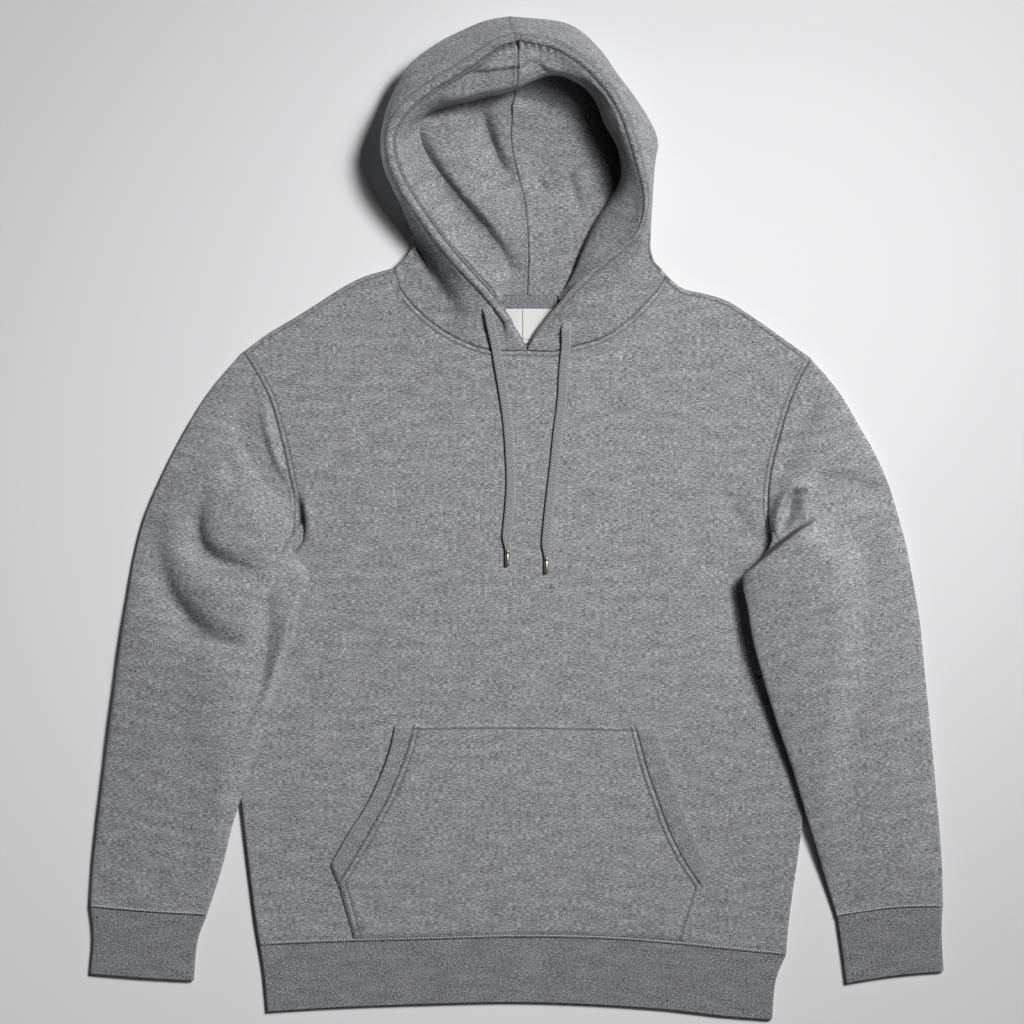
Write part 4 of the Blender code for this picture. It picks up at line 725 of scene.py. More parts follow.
def body_layer(edges, steps, above, inset):
    """One layer's surface: the outer one with inset 0, the inner one with the wall's inset."""
    u, v = np.meshgrid(*steps)
    n_rows, n_columns = u.shape
    side_angle, top_angle = np.full((2, *u.shape), np.pi / 2)
    folds = v[:, 0] < UNDERARM - HAIR
    on_neck = (steps[0] > NECK_SHARES[0] + HAIR) & (steps[0] < NECK_SHARES[2] - HAIR)
    for i, angle in enumerate(FOLD_ANGLES):
        folded, sewn = round_in(angle, inset), round_in(angle, 0) + SEAM_HALF
        for j, sign, start in ((i, 1, 0.0), (n_columns - 1 - i, -1, 1.0)):
            u[:, j] = start + sign * np.where(folds, folded, sewn) / BODY_WIDTH
            side_angle[:, j] = np.where(folds, angle, np.pi / 2)
        v[n_rows - 1 - i, :] = 1.0 - np.where(on_neck, sewn, folded) / BODY_HEIGHT
        top_angle[n_rows - 1 - i, :] = np.where(on_neck, np.pi / 2, angle)
    v[0, :] = SEAM_HALF / BODY_HEIGHT
    plan = coons(*edges, u, v)
    turn = np.sin(np.minimum(side_angle, top_angle))
    height = np.maximum((FOLD_RADIUS - inset) * turn ** FOLD_POWER, SEAM_HALF)
    if above:
        return np.dstack([plan, FLAT_MID + height + front_rise(plan) * turn])
    return np.dstack([plan, FLAT_MID - height])


# --- Sleeves and cuffs: rings round a flattened tube -----------------------------------
def ring_layer(rings, armhole, v, above, inset, troughs=(), lips=(), relief=None, rib=0.0):
    """The upper or lower layer of a tube, from its outer fold to its inner one."""
    table = np.array(rings, float)
    table[:, :2], table[:, 2:4] = mat(table[:, :2]), mat(table[:, 2:4])
    values = through(table, run_length((table[:, :2] + table[:, 2:4]) / 2))(v)
    outer, inner = values[:, None, :2], values[:, None, 2:4]
    over, lift, puff, bow = (values[:, k, None] for k in range(4, 8))
    length = np.linalg.norm(outer - inner, axis=-1)
    depth = round_in(FOLD_ANGLES, inset)
    folds, steps = len(FOLD_ANGLES), RIB_STEPS if rib else ARM_STEPS
    t = np.tile(with_folds(steps), (len(v), 1))
    t[:, :folds] = depth / length
    t[:, -folds:] = 1 - depth[::-1] / length
    plan = outer + (inner - outer) * t[..., None]
    along = (inner - outer) / length[..., None]
    down_sleeve = np.stack([along[..., 1], -along[..., 0]], -1)
    down_sleeve = down_sleeve * np.sign(-down_sleeve[..., 1:2])
    plan = plan + down_sleeve * (bow * 4 * t * (1 - t))[..., None]
    if armhole is not None:
        seam = reverse(armhole)
        chord = outer[0] + (inner[0] - outer[0]) * t[:1, :, None]
        curl = seam(t[:1]) - chord
        reach = run_length((outer + inner)[:, 0] / 2)
        plan = plan + curl * (1 - smooth(reach / CURL_REACH))[:, None, None]
    from_inner = (1 - t) * length
    held = lift * (1 - smooth((from_inner - over - RAMP_START) / RAMP_LENGTH))
    turn = np.sin(np.concatenate([FOLD_ANGLES, np.full(len(steps), np.pi / 2), FOLD_ANGLES[::-1]]))
    middle = held + FLAT_MID
    ribs = rib * (np.cos(2 * np.pi * from_inner / RIB_PITCH) - 1) * turn
    extra = 0.0 if relief is None else relief(plan, above) * turn ** 2
    column = np.arange(t.shape[1])
    sunny = np.where(along[..., 0] > 0, column >= len(column) - folds, column < folds)
    power = np.where(sunny, SUNNY_FOLD_POWER, FOLD_POWER)
    if not above:
        low = middle - (FOLD_RADIUS - inset) * turn ** power - ribs + extra
        return np.dstack([plan, np.maximum(low, 0.0)])
    fold_room = smooth(puff / PUFF_FADE)
    rise = puff * np.sin(np.pi * t) ** PUFF_TAPER
    rise = rise - trough_depth(troughs, plan) * fold_room * turn
    rise = rise + lip_height(lips, plan) * fold_room * turn
    height = (FOLD_RADIUS - inset) * turn ** power + np.maximum(rise, 0.0) * turn
    return np.dstack([plan, middle + height + ribs + extra])


def tube(upper, lower):
    """Two layers joined at their folds, as closed rings of points."""
    return np.concatenate([upper, lower[:, ::-1][:, 1:-1]], axis=1)


def ring_wall(rings, armhole, v, wall, troughs=(), lips=(), relief=None, rib=0.0):
    """Outer and inner surfaces of the whole tube."""
    surfaces = []
    for inset in (0.0, wall):
        upper = ring_layer(rings, armhole, v, True, inset, troughs, lips, relief, rib)
        lower = ring_layer(rings, armhole, v, False, inset, relief=relief, rib=rib)
        surfaces.append(tube(upper, lower))
    return surfaces


# --- Hood ------------------------------------------------------------------------------
def unit(vectors):
    """The vectors, each one long."""
    return vectors / np.maximum(np.linalg.norm(vectors, axis=-1, keepdims=True), TINY)


def resample(points, count, to_seam=False):
    """The curve through the points, at evenly spaced places or closer towards a seam."""
    curve, shares = through(points), np.linspace(0, 1, CURVE_SAMPLES)
    length = run_length(curve(shares))
    wanted = np.linspace(0, length[-1], count)
    if to_seam:
        even = np.linspace(0, length[-1] - BEFORE_SEAM, count - len(END_STEPS))
        wanted = np.concatenate([even, length[-1] - END_STEPS])
    return curve(np.interp(wanted, length, shares))


HOOD_SHARES = np.concatenate([
    np.linspace(0, 1 - BEFORE_SEAM / HOOD_PATH, HOOD_ROWS - len(END_STEPS)),
    1 - END_STEPS / HOOD_PATH])
# Angles round the roll, where 90 degrees is its top and 0 its outer side
OUTER_ROLL = np.radians(np.linspace(150, 20, 9))
LINING_ROLL = np.radians(np.linspace(159, 205, 5))


def roll_points(centre, outward, angles):
    """Points on the roll round the opening."""
    up = np.array([0, 0, 1])
    return np.array([centre + ROLL_RADIUS * (outward * math.cos(a) + up * math.sin(a))
                     for a in angles])


def rows_of(table):
    """The table's row at each share of the way from neck to crown."""
    return through(np.array(table, float), np.arange(len(table)))(HOOD_SHARES)


def columns_of(section, *starts):
    """The points of a section's row that start at the given columns."""
    return [mat(section[k:k + 3][None])[0] for k in starts]


def neck_row(neck_front, neck_back):
    """The outer cloth's neck edge, centre front round to centre back."""
    front = resample(np.column_stack([mat(neck_front), np.full(len(neck_front),
                     2 * FOLD_RADIUS + NECK_RISE)]), HOOD_FRONT_COLUMNS + 1)
    front[-1, 2] = FLAT_MID
    back = resample(np.column_stack([mat(neck_back)[::-1], np.zeros(len(neck_back))]),
                    HOOD_BACK_COLUMNS + 1, to_seam=True)
    return np.concatenate([front, back[1:]]) + [0, NECK_GAP, 0]


def from_neck(neck, rows, lean):
    """The rows with more before them, which carry the neck edge smoothly into them; their
    edge at the centre seam leans away from it."""
    keys = [neck, rows[0], rows[NECK_KEY_ROW]]
    gaps = [np.linalg.norm(b - a, axis=-1).mean() for a, b in zip(keys, keys[1:])]
    knots = np.cumsum([0.0, *gaps])
    curve = through(np.array([key.ravel() for key in keys]), knots)
    first = curve(np.linspace(0, knots[1] / knots[2], NECK_ROWS + 1)[:-1])
    grid = np.concatenate([first.reshape(NECK_ROWS, -1, 3), rows])
    return grid + np.array([lean, 0, 0]) * seam_weight(grid.shape)


def half_rows(sections):
    """For each row of a half: its section, the middle of its roll and the way out from
    there, its hollow and its side."""
    for section in rows_of(sections):
        rim, hollow, side = columns_of(section, RIM, HOLLOW, SIDE)
        outward = unit(np.append((hollow - rim)[:2], 0.0))
        yield section, rim - [0, 0, ROLL_RADIUS], outward, hollow, side


def hood_outer(sections, neck_front, neck_back, lean):
    """The outer cloth of one half of the hood: rim, over the side, and under to the back."""
    rows, centres = [], []
    back = traced(CENTRE_BACK)(CENTRE_START + (1 - CENTRE_START) * HOOD_SHARES)
    for end, (section, centre, outward, hollow, side) in zip(back, half_rows(sections)):
        tuck, middle = np.append(mat(section[None, TUCK:])[0], 0.0), np.append(end, 0.0)
        roll = roll_points(centre, outward, OUTER_ROLL)
        over = resample(np.array([roll[-1], hollow, side]), HOOD_FRONT_COLUMNS + 2 - len(roll))
        turned = (side + tuck) / 2 - [0, 0, side[2] * UNDER_DROP]
        under = resample(np.array([side, turned, tuck, (tuck + middle) / 2, middle]),
                         HOOD_BACK_COLUMNS + 1, to_seam=True)
        rows.append(np.concatenate([roll, over[1:], under[1:]]))
        centres.append(centre)
    grid = np.array(rows)
    grid[..., 2] = np.maximum(grid[..., 2], 0.0)
    bend = np.linspace(*grid[-1, [0, -1], 0], grid.shape[1]) - grid[-1, :, 0]
    grid[..., 0] += np.exp(-((1 - HOOD_SHARES) * HOOD_PATH / SEAM_EASE) ** 2)[:, None] * bend
    return from_neck(neck_row(neck_front, neck_back), grid, lean), np.array(centres)


def seam_weight(shape):
    """1 on the centre seam, which is the last row and the last column, and 0 elsewhere."""
    weight = np.zeros(shape[:2] + (1,))
    weight[-1], weight[:, -1] = 1.0, 1.0
    return weight


def hood_lining(sections, outer_sections, neck, lean):
    """The lining of one half: its neck edge, then the roll, the wall and the hood's floor."""
    neck = mat(neck)
    first = np.concatenate([resample(neck[:LINING_FOLD + 1], WALL_COLUMNS + len(LINING_ROLL) - 1),
                            resample(neck[LINING_FOLD:], FLOOR_COLUMNS + 1, to_seam=True)[1:]])
    rows, centres = [], []
    ends = traced(LINING_CENTRE)(HOOD_SHARES)
    for section, end, (_, centre, outward, _, _) in zip(rows_of(sections), ends,
                                                        half_rows(outer_sections)):
        wall, foot = columns_of(section, WALL, FOOT)
        roll = roll_points(centre, outward, LINING_ROLL)
        edge = foot + EDGE_SHARE * (wall - foot)
        edge[2] = max(edge[2], foot[2] + section[EDGE])
        down = resample(np.array([roll[-1], wall, edge, foot]), WALL_COLUMNS)
        floor = resample(np.array([foot, (foot + end) / 2, end]), FLOOR_COLUMNS + 1, to_seam=True)
        rows.append(np.concatenate([roll[:-1], down, floor[1:]]))
        centres.append(centre)
    return from_neck(first, np.array(rows), lean), np.array(centres)


def offset_into(grid, amount, facing, centres, n_roll):
    """The grid moved off itself by the wall, away from the side that faces out."""
    normals = unit(np.cross(np.gradient(grid, axis=1), np.gradient(grid, axis=0))) * facing
    normals[NECK_ROWS:, :n_roll] = unit(grid[NECK_ROWS:, :n_roll] - centres[:, None])
    normals[-1, :, 0] = normals[:, -1, 0] = 0.0
    normals[grid[..., 2] < ON_FLOOR] = (0.0, 0.0, -1.0)
    return grid - unit(normals) * amount


# --- Relief that the cloth has over its solid -------------------------------------------
def soft_noise(plan, size, seed):
    """Smooth random heights between -1 and 1, with lumps of about that size."""
    lattice = np.random.default_rng(seed).uniform(-1, 1, (LATTICE, LATTICE))
    x, y = plan[..., 0] / size + LATTICE / 2, plan[..., 1] / size + LATTICE / 2
    i, j = np.floor(x).astype(int), np.floor(y).astype(int)
    s, t = smooth(x - i), smooth(y - j)
    low, high = (lattice[i % LATTICE, k % LATTICE] * (1 - s)
                 + lattice[(i + 1) % LATTICE, k % LATTICE] * s for k in (j, j + 1))
    return low * (1 - t) + high * t


def distance_to(paths, plan):
    """How far each plan point is from the nearest of the paths."""
    lines = []
    for path in paths:
        line = mat(path)
        lines.append(through(line)(np.linspace(0, 1, int(run_length(line)[-1] / PATH_STEP) + 2)))
    samples = np.concatenate(lines)
    tree = KDTree(len(samples))
    for i, (x, y) in enumerate(samples):
        tree.insert((x, y, 0.0), i)
    tree.balance()
    flat = plan.reshape(-1, 2)
    found = np.array([tree.find((x, y, 0.0))[2] for x, y in flat])
    return found.reshape(plan.shape[:-1])


def seam_relief(seam, distance):
    """The cloth beside a seam: down into it, up over the turned edge, down at the topstitch."""
    return (-seam.dip * np.exp(-(distance / DIP_WIDTH) ** 2)
            + seam.ridge * np.exp(-((distance - seam.ridge_at) / RIDGE_WIDTH) ** 2)
            - seam.groove * np.exp(-((distance - seam.groove_at) / GROOVE_WIDTH) ** 2))


def seam_shade(seam, distance):
    """How dark the threads and the painted shadow between them make the cloth there, up to 1."""
    line = np.exp(-(distance / DIP_WIDTH) ** 2) * min(seam.dip, 1.0)
    depth = min(seam.groove, DARKEST_GROOVE)
    groove = np.exp(-((distance - seam.groove_at) / GROOVE_WIDTH) ** 2) * depth
    return np.maximum(line, groove)


def painted_shadow(shadow_lines, plan):
    """How dark the painted shade along the lines makes the cloth's colour, fading at their ends."""
    total = np.zeros(plan.shape[:-1])
    for shadow_line in shadow_lines:
        distance, _, along = nearest(shadow_line.path, plan, SHADOW_LINE_SAMPLES)
        ends = np.sin(np.pi * along) ** SHADOW_LINE_TAPER
        total = np.maximum(total, shadow_line.dark * ends * np.exp(-(distance / shadow_line.width) ** 2))
    return total


def lumps(plan, seed, height):
    """The soft unevenness of cloth that lies by hand."""
    return height * sum(share * soft_noise(plan, size, seed + i)
                        for i, (size, share) in enumerate(LUMPS))


# --- Pieces -------------------------------------------------------------------------------
def knit_uv(grid, closed):
    """Distances along and down the cloth, in metres, from its middle column."""
    falls = np.linalg.norm(np.diff(grid, axis=0), axis=-1).mean(1)
    down = np.concatenate([[0.0], np.cumsum(falls)])
    if closed:
        grid = np.concatenate([grid, grid[:, :1]], axis=1)
    across = along_rows(grid, grid.shape[1] // 2)
    return np.dstack([across, np.broadcast_to(down[:, None], across.shape)]) * MM


def cloth(name, outer, inner, slot, node, closed=False, uv=None, shade=None):
    """One closed cloth wall between its two surfaces, in mm, which stands for a CAD node."""
    n_rows, n_columns = outer.shape[:2]
    uv = knit_uv(outer, closed) if uv is None else uv
    if uv.shape[1] == n_columns:
        uv = np.concatenate([uv, uv[:, :1]], axis=1)
    count = n_rows * n_columns
    number = np.arange(count).reshape(n_rows, n_columns)
    wraps = n_columns if closed else n_columns - 1
    row, column = np.meshgrid(np.arange(n_rows - 1), np.arange(wraps), indexing="ij")
    row, column = row.ravel(), column.ravel()
    after = (column + 1) % n_columns
    corners = [(row, column, column), (row, after, column + 1),
               (row + 1, after, column + 1), (row + 1, column, column)]
    skin = np.column_stack([number[r, c] for r, c, _ in corners])
    skin_uv = np.stack([uv[r, k] for r, _, k in corners], axis=1)
    faces, uvs = [skin, skin[:, ::-1] + count], [skin_uv, skin_uv[:, ::-1]]
    across, along = np.arange(wraps), np.arange(n_rows - 1)
    rims = [(1, 0 * across, across, 0, 1), (-1, 0 * across + n_rows - 1, across, 0, 1)]
    if not closed:
        rims += [(-1, along, 0 * along, 1, 0), (1, along, 0 * along + n_columns - 1, 1, 0)]
    for turn, r, c, down, side in rims:
        s, d = r + down, c + side
        a, b = number[r, c], number[s, d % n_columns]
        quad = np.column_stack([a, a + count, b + count, b])[:, ::turn]
        quad_uv = np.stack([uv[r, c], uv[r, c], uv[s, d], uv[s, d]], axis=1)[:, ::turn]
        faces.append(quad)
        uvs.append(quad_uv)
    faces, uvs = np.concatenate(faces), np.concatenate(uvs)
    points = np.concatenate([outer.reshape(-1, 3), inner.reshape(-1, 3)]) * MM
    a, b, c = (points[faces[:, k]] for k in (0, 1, 2))
    d = points[faces[:, 3]]
    volume = (np.cross(a, b) * c).sum() + (np.cross(a, c) * d).sum()
    if volume < 0:
        faces, uvs = faces[:, ::-1], uvs[:, ::-1]
    made = piece(name, points, faces, slot, node, uvs)
    # Painted shade for seams, folds and hollows, on the outer surface only, as the attribute the
    # material darkens by
    if shade is not None:
        dark = np.concatenate([shade.ravel(), np.zeros(count)])
        made.data.attributes.new("shade", "FLOAT", "POINT").data.foreach_set("value", dark)
    return made


def placed(name, data):
    """A new object of the scene."""
    made = bpy.data.objects.new(name, data)
    bpy.context.scene.collection.objects.link(made)
    return made


def piece(name, points, faces, slot, node=None, uvs=None, sharp=50):
    """A mesh object of the garment."""
    data = bpy.data.meshes.new(name)
    data.from_pydata(np.asarray(points).tolist(), [], [list(map(int, face)) for face in faces])
    if uvs is not None:
        data.uv_layers.new(name="knit").data.foreach_set("uv", np.asarray(uvs).ravel())
    data.shade_smooth()
    data.set_sharp_from_angle(angle=math.radians(sharp))
    made = placed(name, data)
    data.materials.append(material(slot))
    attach(made, "root")
    if node:
        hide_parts(node)
    return made


def body(side, necks, above):
    """The front or the back panel of the body."""
    seed, edges = SEEDS[side], body_edges(*necks)
    steps = body_steps(FRONT_STEP if above else BACK_STEP)
    surfaces = [body_layer(edges, steps, above, inset) for inset in (0.0, FLEECE)]
    plan = surfaces[0][..., :2]
    seams = [*necks, RIGHT_SHOULDER, LEFT_SHOULDER, RIGHT_ARMHOLE, LEFT_ARMHOLE]
    inside = smooth(distance_to([RIGHT_SIDE, LEFT_SIDE], plan) / SIDE_FADE)
    from_seam, from_hem = distance_to(seams, plan), distance_to([HEM_SEAM], plan)
    # Painted shade: dark threads and painted shadow along the seams, and on the front painted
    # shadow in the fold by the right armhole
    shade = np.maximum.reduce([seam_shade(TWIN, from_seam), seam_shade(GATHER, from_hem),
                               seam_shade(NECK_TWIN, distance_to(necks, plan))])
    if above:
        shade = np.maximum(shade, painted_shadow(PAINTED_SHADOWS["front"], plan))
        relief = (lumps(plan, seed, FRONT_LUMPS) - trough_depth(FRONT_TROUGHS, plan)) * inside
        relief = relief + seam_relief(TWIN, from_seam) * inside
        relief = relief + seam_relief(GATHER, from_hem) * inside
    else:
        relief = np.maximum(lumps(plan, seed, BACK_LUMPS), 0.0) * inside
        relief = relief - seam_relief(TWIN, from_seam) * inside
        relief = relief + trough_depth(BACK_TROUGHS, plan) * inside
    for surface in surfaces:
        surface[..., 2] = np.maximum(surface[..., 2] + relief, 0.0)
    return cloth(side + "_cloth", *surfaces, "fleece", "body_" + side, uv=plan * MM, shade=shade)


def sleeve(side, away, rings, armhole, cuff_seam, troughs, lips):
    """One sleeve; away is -1 on the right and 1 on the left."""
    length, seed = SLEEVE_LENGTH, SEEDS[side]
    fine = np.arange(ARMHOLE_STEPS[-1] + SLEEVE_FINE, FINE_LENGTH, SLEEVE_FINE)
    coarse = np.arange(FINE_LENGTH, length - CUFF_STEPS[-1] - SLEEVE_STEP / 2, SLEEVE_STEP)
    v = np.concatenate([ARMHOLE_STEPS, fine, coarse, length - CUFF_STEPS[::-1]]) / length

    def relief(plan, above):
        if above:
            from_cuff = distance_to([cuff_seam], plan)
            found = lumps(plan, seed, SLEEVE_LUMPS) * smooth(from_cuff / CUFF_CALM)
            found += seam_relief(PLAIN, distance_to([armhole], plan))
            return found + seam_relief(CUFF_GATHER, from_cuff)
        found = np.maximum(lumps(plan, seed + UNDERSIDE, SLEEVE_LUMPS), 0.0)
        return found + trough_depth(BACK_SLEEVE_TROUGHS[side], plan)

    outer, inner = ring_wall(rings, traced(armhole), v, FLEECE, troughs, lips, relief)
    for grid in (outer, inner):
        grid[0, :, 0] += away * SEAM_GAP
        grid[-1, :, 1] += SEAM_GAP
    plan = outer[..., :2]
    # Painted shade: dark threads and painted shadow along the armhole and cuff seams, and on the
    # left sleeve painted shadow in the fold under its lap
    shade = np.maximum.reduce([seam_shade(PLAIN, distance_to([armhole], plan)),
                               seam_shade(CUFF_GATHER, distance_to([cuff_seam], plan)),
                               painted_shadow(PAINTED_SHADOWS.get(side, ()), plan)])
    grain = math.radians(SLEEVE_GRAIN[side])
    turned = np.array([[math.cos(grain), -math.sin(grain)], [math.sin(grain), math.cos(grain)]])
    return cloth("sleeve_" + side + "_cloth", outer, inner, "fleece", "sleeve_" + side,
                 closed=True, uv=plan @ turned * MM, shade=shade)


def cuff(side, rings):
    """One ribbed cuff."""
    surfaces = ring_wall(rings, None, np.linspace(0, 1, BAND_ROWS), RIB, rib=RIB_HEIGHT)
    return cloth("cuff_" + side + "_rib", *surfaces, "rib", "cuff_" + side, closed=True)


def hem_band():
    """The ribbed band round the hem."""
    edges = [traced(path) for path in (HEM_EDGE, HEM_SEAM, HEM_RIGHT_END, HEM_LEFT_END)]
    start = round_in(FOLD_ANGLES[-1], 0.0) / BAND_WIDTH * HEM_FOLD_ROOM
    u_line = with_folds(np.linspace(start, 1 - start, HEM_COLUMNS))
    v_line = np.linspace(0, 1 - 2 * SEAM_GAP / BAND_HEIGHT, BAND_ROWS)
    surfaces = []
    for inset in (0.0, RIB):
        u, v = np.meshgrid(u_line, v_line)
        turn = np.ones(u.shape)
        for i, angle in enumerate(FOLD_ANGLES):
            depth = round_in(angle, inset) / BAND_WIDTH
            u[:, i], u[:, -1 - i] = depth, 1 - depth
            turn[:, i] = turn[:, -1 - i] = math.sin(angle)
        plan = coons(*edges, u, v)
        ribs = RIB_HEIGHT * np.cos(2 * np.pi * u * BAND_WIDTH / RIB_PITCH) * turn
        height = (FOLD_RADIUS - inset) * turn ** FOLD_POWER + ribs - RIB_HEIGHT
        wave = lumps(plan, SEEDS["hem"], HEM_LUMPS) * turn
        upper = np.dstack([plan, FLAT_MID + height + np.maximum(wave, -HEM_DIP)])
        lower = np.dstack([plan, np.maximum(FLAT_MID - height, 0.0)])
        surfaces.append(tube(upper, lower))
    return cloth("hem_rib", *surfaces, "rib", "hem_band", closed=True)


def past_roll(shape, start, n_roll):
    """0 on the roll's columns and over the next few, rising to 1."""
    weight = smooth((np.arange(shape[1]) - n_roll) / ROLL_FADE)
    rows = smooth(np.arange(shape[0]) / start)
    return weight[None, :] * rows[:, None]


def pressed(past, rows):
    """How deep the rows of stitches along the face opening press the cloth."""
    total = np.zeros(past.shape)
    for row in rows:
        total += row.depth * np.exp(-((past - row.past) / RIM_ROW_WIDTH) ** 2)
    return total


def hood_uv(grid, across, down):
    """The plan, stretched where the cloth is steep; across and down are which way it climbs."""
    x, y, z = np.moveaxis(grid, -1, 0)
    return np.dstack([x + UV_CLIMB * across * z, y + UV_CLIMB * down * z]) * MM


def puckers(plan, past):
    """Small gathers that run in from the roll over the crown."""
    across = plan[..., 0] - mat([PUCKER_CENTRE, 0.0])[0]
    near = np.exp(-(across / PUCKER_REACH) ** 2) * (plan[..., 1] > mat([0.0, PUCKER_LOWEST])[1])
    inward = np.exp(-(past / PUCKER_DEPTH) ** 2) * smooth((past + PUCKER_INWARD) / ROLL_INWARD)
    return PUCKER_HEIGHT * near * inward * np.cos(2 * np.pi * across / PUCKER_PITCH)


def hood_half(side, away, sections, lining, lining_neck, neck_front, neck_back):
    """The outer cloth and the lining of one half, and the points of their upper faces."""
    lean = away * SEAM_HALF
    outer, centres = hood_outer(sections, neck_front, neck_back, lean)
    n_roll, plan = len(OUTER_ROLL), outer[..., :2]
    top = (outer[..., 2] > UNDER_TOP) * 1.0
    weight = past_roll(outer.shape, OUTER_START, n_roll)
    from_neck_seam, from_centre = distance_to([neck_front], plan), run_back(outer)
    rows = pressed(along_rows(outer, n_roll - 1), OUTER_ROWS[side]) * rows_past(outer, ROW_START)
    relief = lumps(plan, SEEDS["hood"], HOOD_LUMPS) - trough_depth(HOOD_TROUGHS[side], plan)
    relief = (relief * weight * top + seam_relief(PLAIN, from_neck_seam) * top
              + seam_relief(CROWN_SEAM, from_centre) * top - rows)
    # Painted shade: painted shadow beside the right half's roll, and dark threads with painted
    # shadow along the seams and the rows of stitches
    shadow_lines = painted_shadow(PAINTED_SHADOWS.get("hood_" + side, ()), plan) * weight * top
    shade = np.maximum.reduce([seam_shade(PLAIN, from_neck_seam), RIM_ROW_SHADE * rows, shadow_lines,
                               CROWN_SHADE * seam_shade(CROWN_SEAM, from_centre)])
    outer[..., 2] = np.maximum(outer[..., 2] + relief, 0.0)
    inner = offset_into(outer, HOOD_OUTER, away, centres, n_roll)
    shell = cloth("hood_" + side + "_cloth", outer, inner, "fleece", "hood_outer_" + side,
                  uv=hood_uv(outer, -away, -1.0), shade=shade)

    face, centres = hood_lining(lining, sections, lining_neck, lean)
    n_roll, plan = len(LINING_ROLL), face[..., :2]
    past, from_centre = along_rows(face, n_roll - 1), run_back(face)
    weight = past_roll(face.shape, LINING_START, n_roll)
    relief = lumps(plan, SEEDS["lining"], LINING_LUMPS) - trough_depth(LINING_TROUGHS, plan)
    lips = lip_height(LINING_LIPS, plan, LINING_LIP_STEP, LINING_LIP_ENDS)
    gathers = puckers(plan, past)
    fill = (RIM_FILL[side] * np.exp(-(past / RIM_FILL_REACH) ** 2)
            * smooth((past + ROLL_INWARD) / ROLL_INWARD))
    rows = pressed(past, LINING_ROWS[side]) * rows_past(face, ROW_START)
    relief = ((relief + lips) * weight + gathers + fill * rows_past(face, FILL_ROWS)
              + seam_relief(CENTRE_SEAM, from_centre) * rows_past(face, CENTRE_ROWS) - rows)
    # Painted shade: dark threads and painted shadow along the centre seam and the rows of stitches,
    # and painted shadow in the hollow under the rim
    shade = np.maximum.reduce([CENTRE_SHADE * seam_shade(CENTRE_SEAM, from_centre),
                               RIM_ROW_SHADE * rows,
                               painted_shadow(PAINTED_SHADOWS["lining"], plan) * weight])
    face[..., 2] = np.maximum(face[..., 2] + relief, LINING_FLOOR)
    face[..., 1] -= gathers
    back = offset_into(face, HOOD_LINING, -away, centres, n_roll)
    inside = cloth("hood_lining_" + side + "_cloth", face, back, "fleece", "hood_lining_" + side,
                   uv=hood_uv(face, away, 1.0), shade=shade)
    # Both cloths of the hood get the darker copy of the fleece: painted shade
    for made in (shell, inside):
        made.data.materials[0] = material("lining")
    return shell, inside, outer, face


def strip(name, top, wall, slot, node, uv=None, edge=None, shade=None):
    """A flat piece. edge is how far each of its points is inside the edges sewn down."""
    under = top.copy()
    under[..., 2] -= wall
    if edge is not None:
        top = top.copy()
        top[..., 2] -= (wall - EDGE_WALL) * np.exp(-(edge / EDGE_ROUND) ** 2)
    return cloth(name, top, under, slot, node, uv=uv, shade=shade)


def front_top(plan):
    """How high the top of the front is."""
    return 2 * FOLD_RADIUS + front_rise(plan)


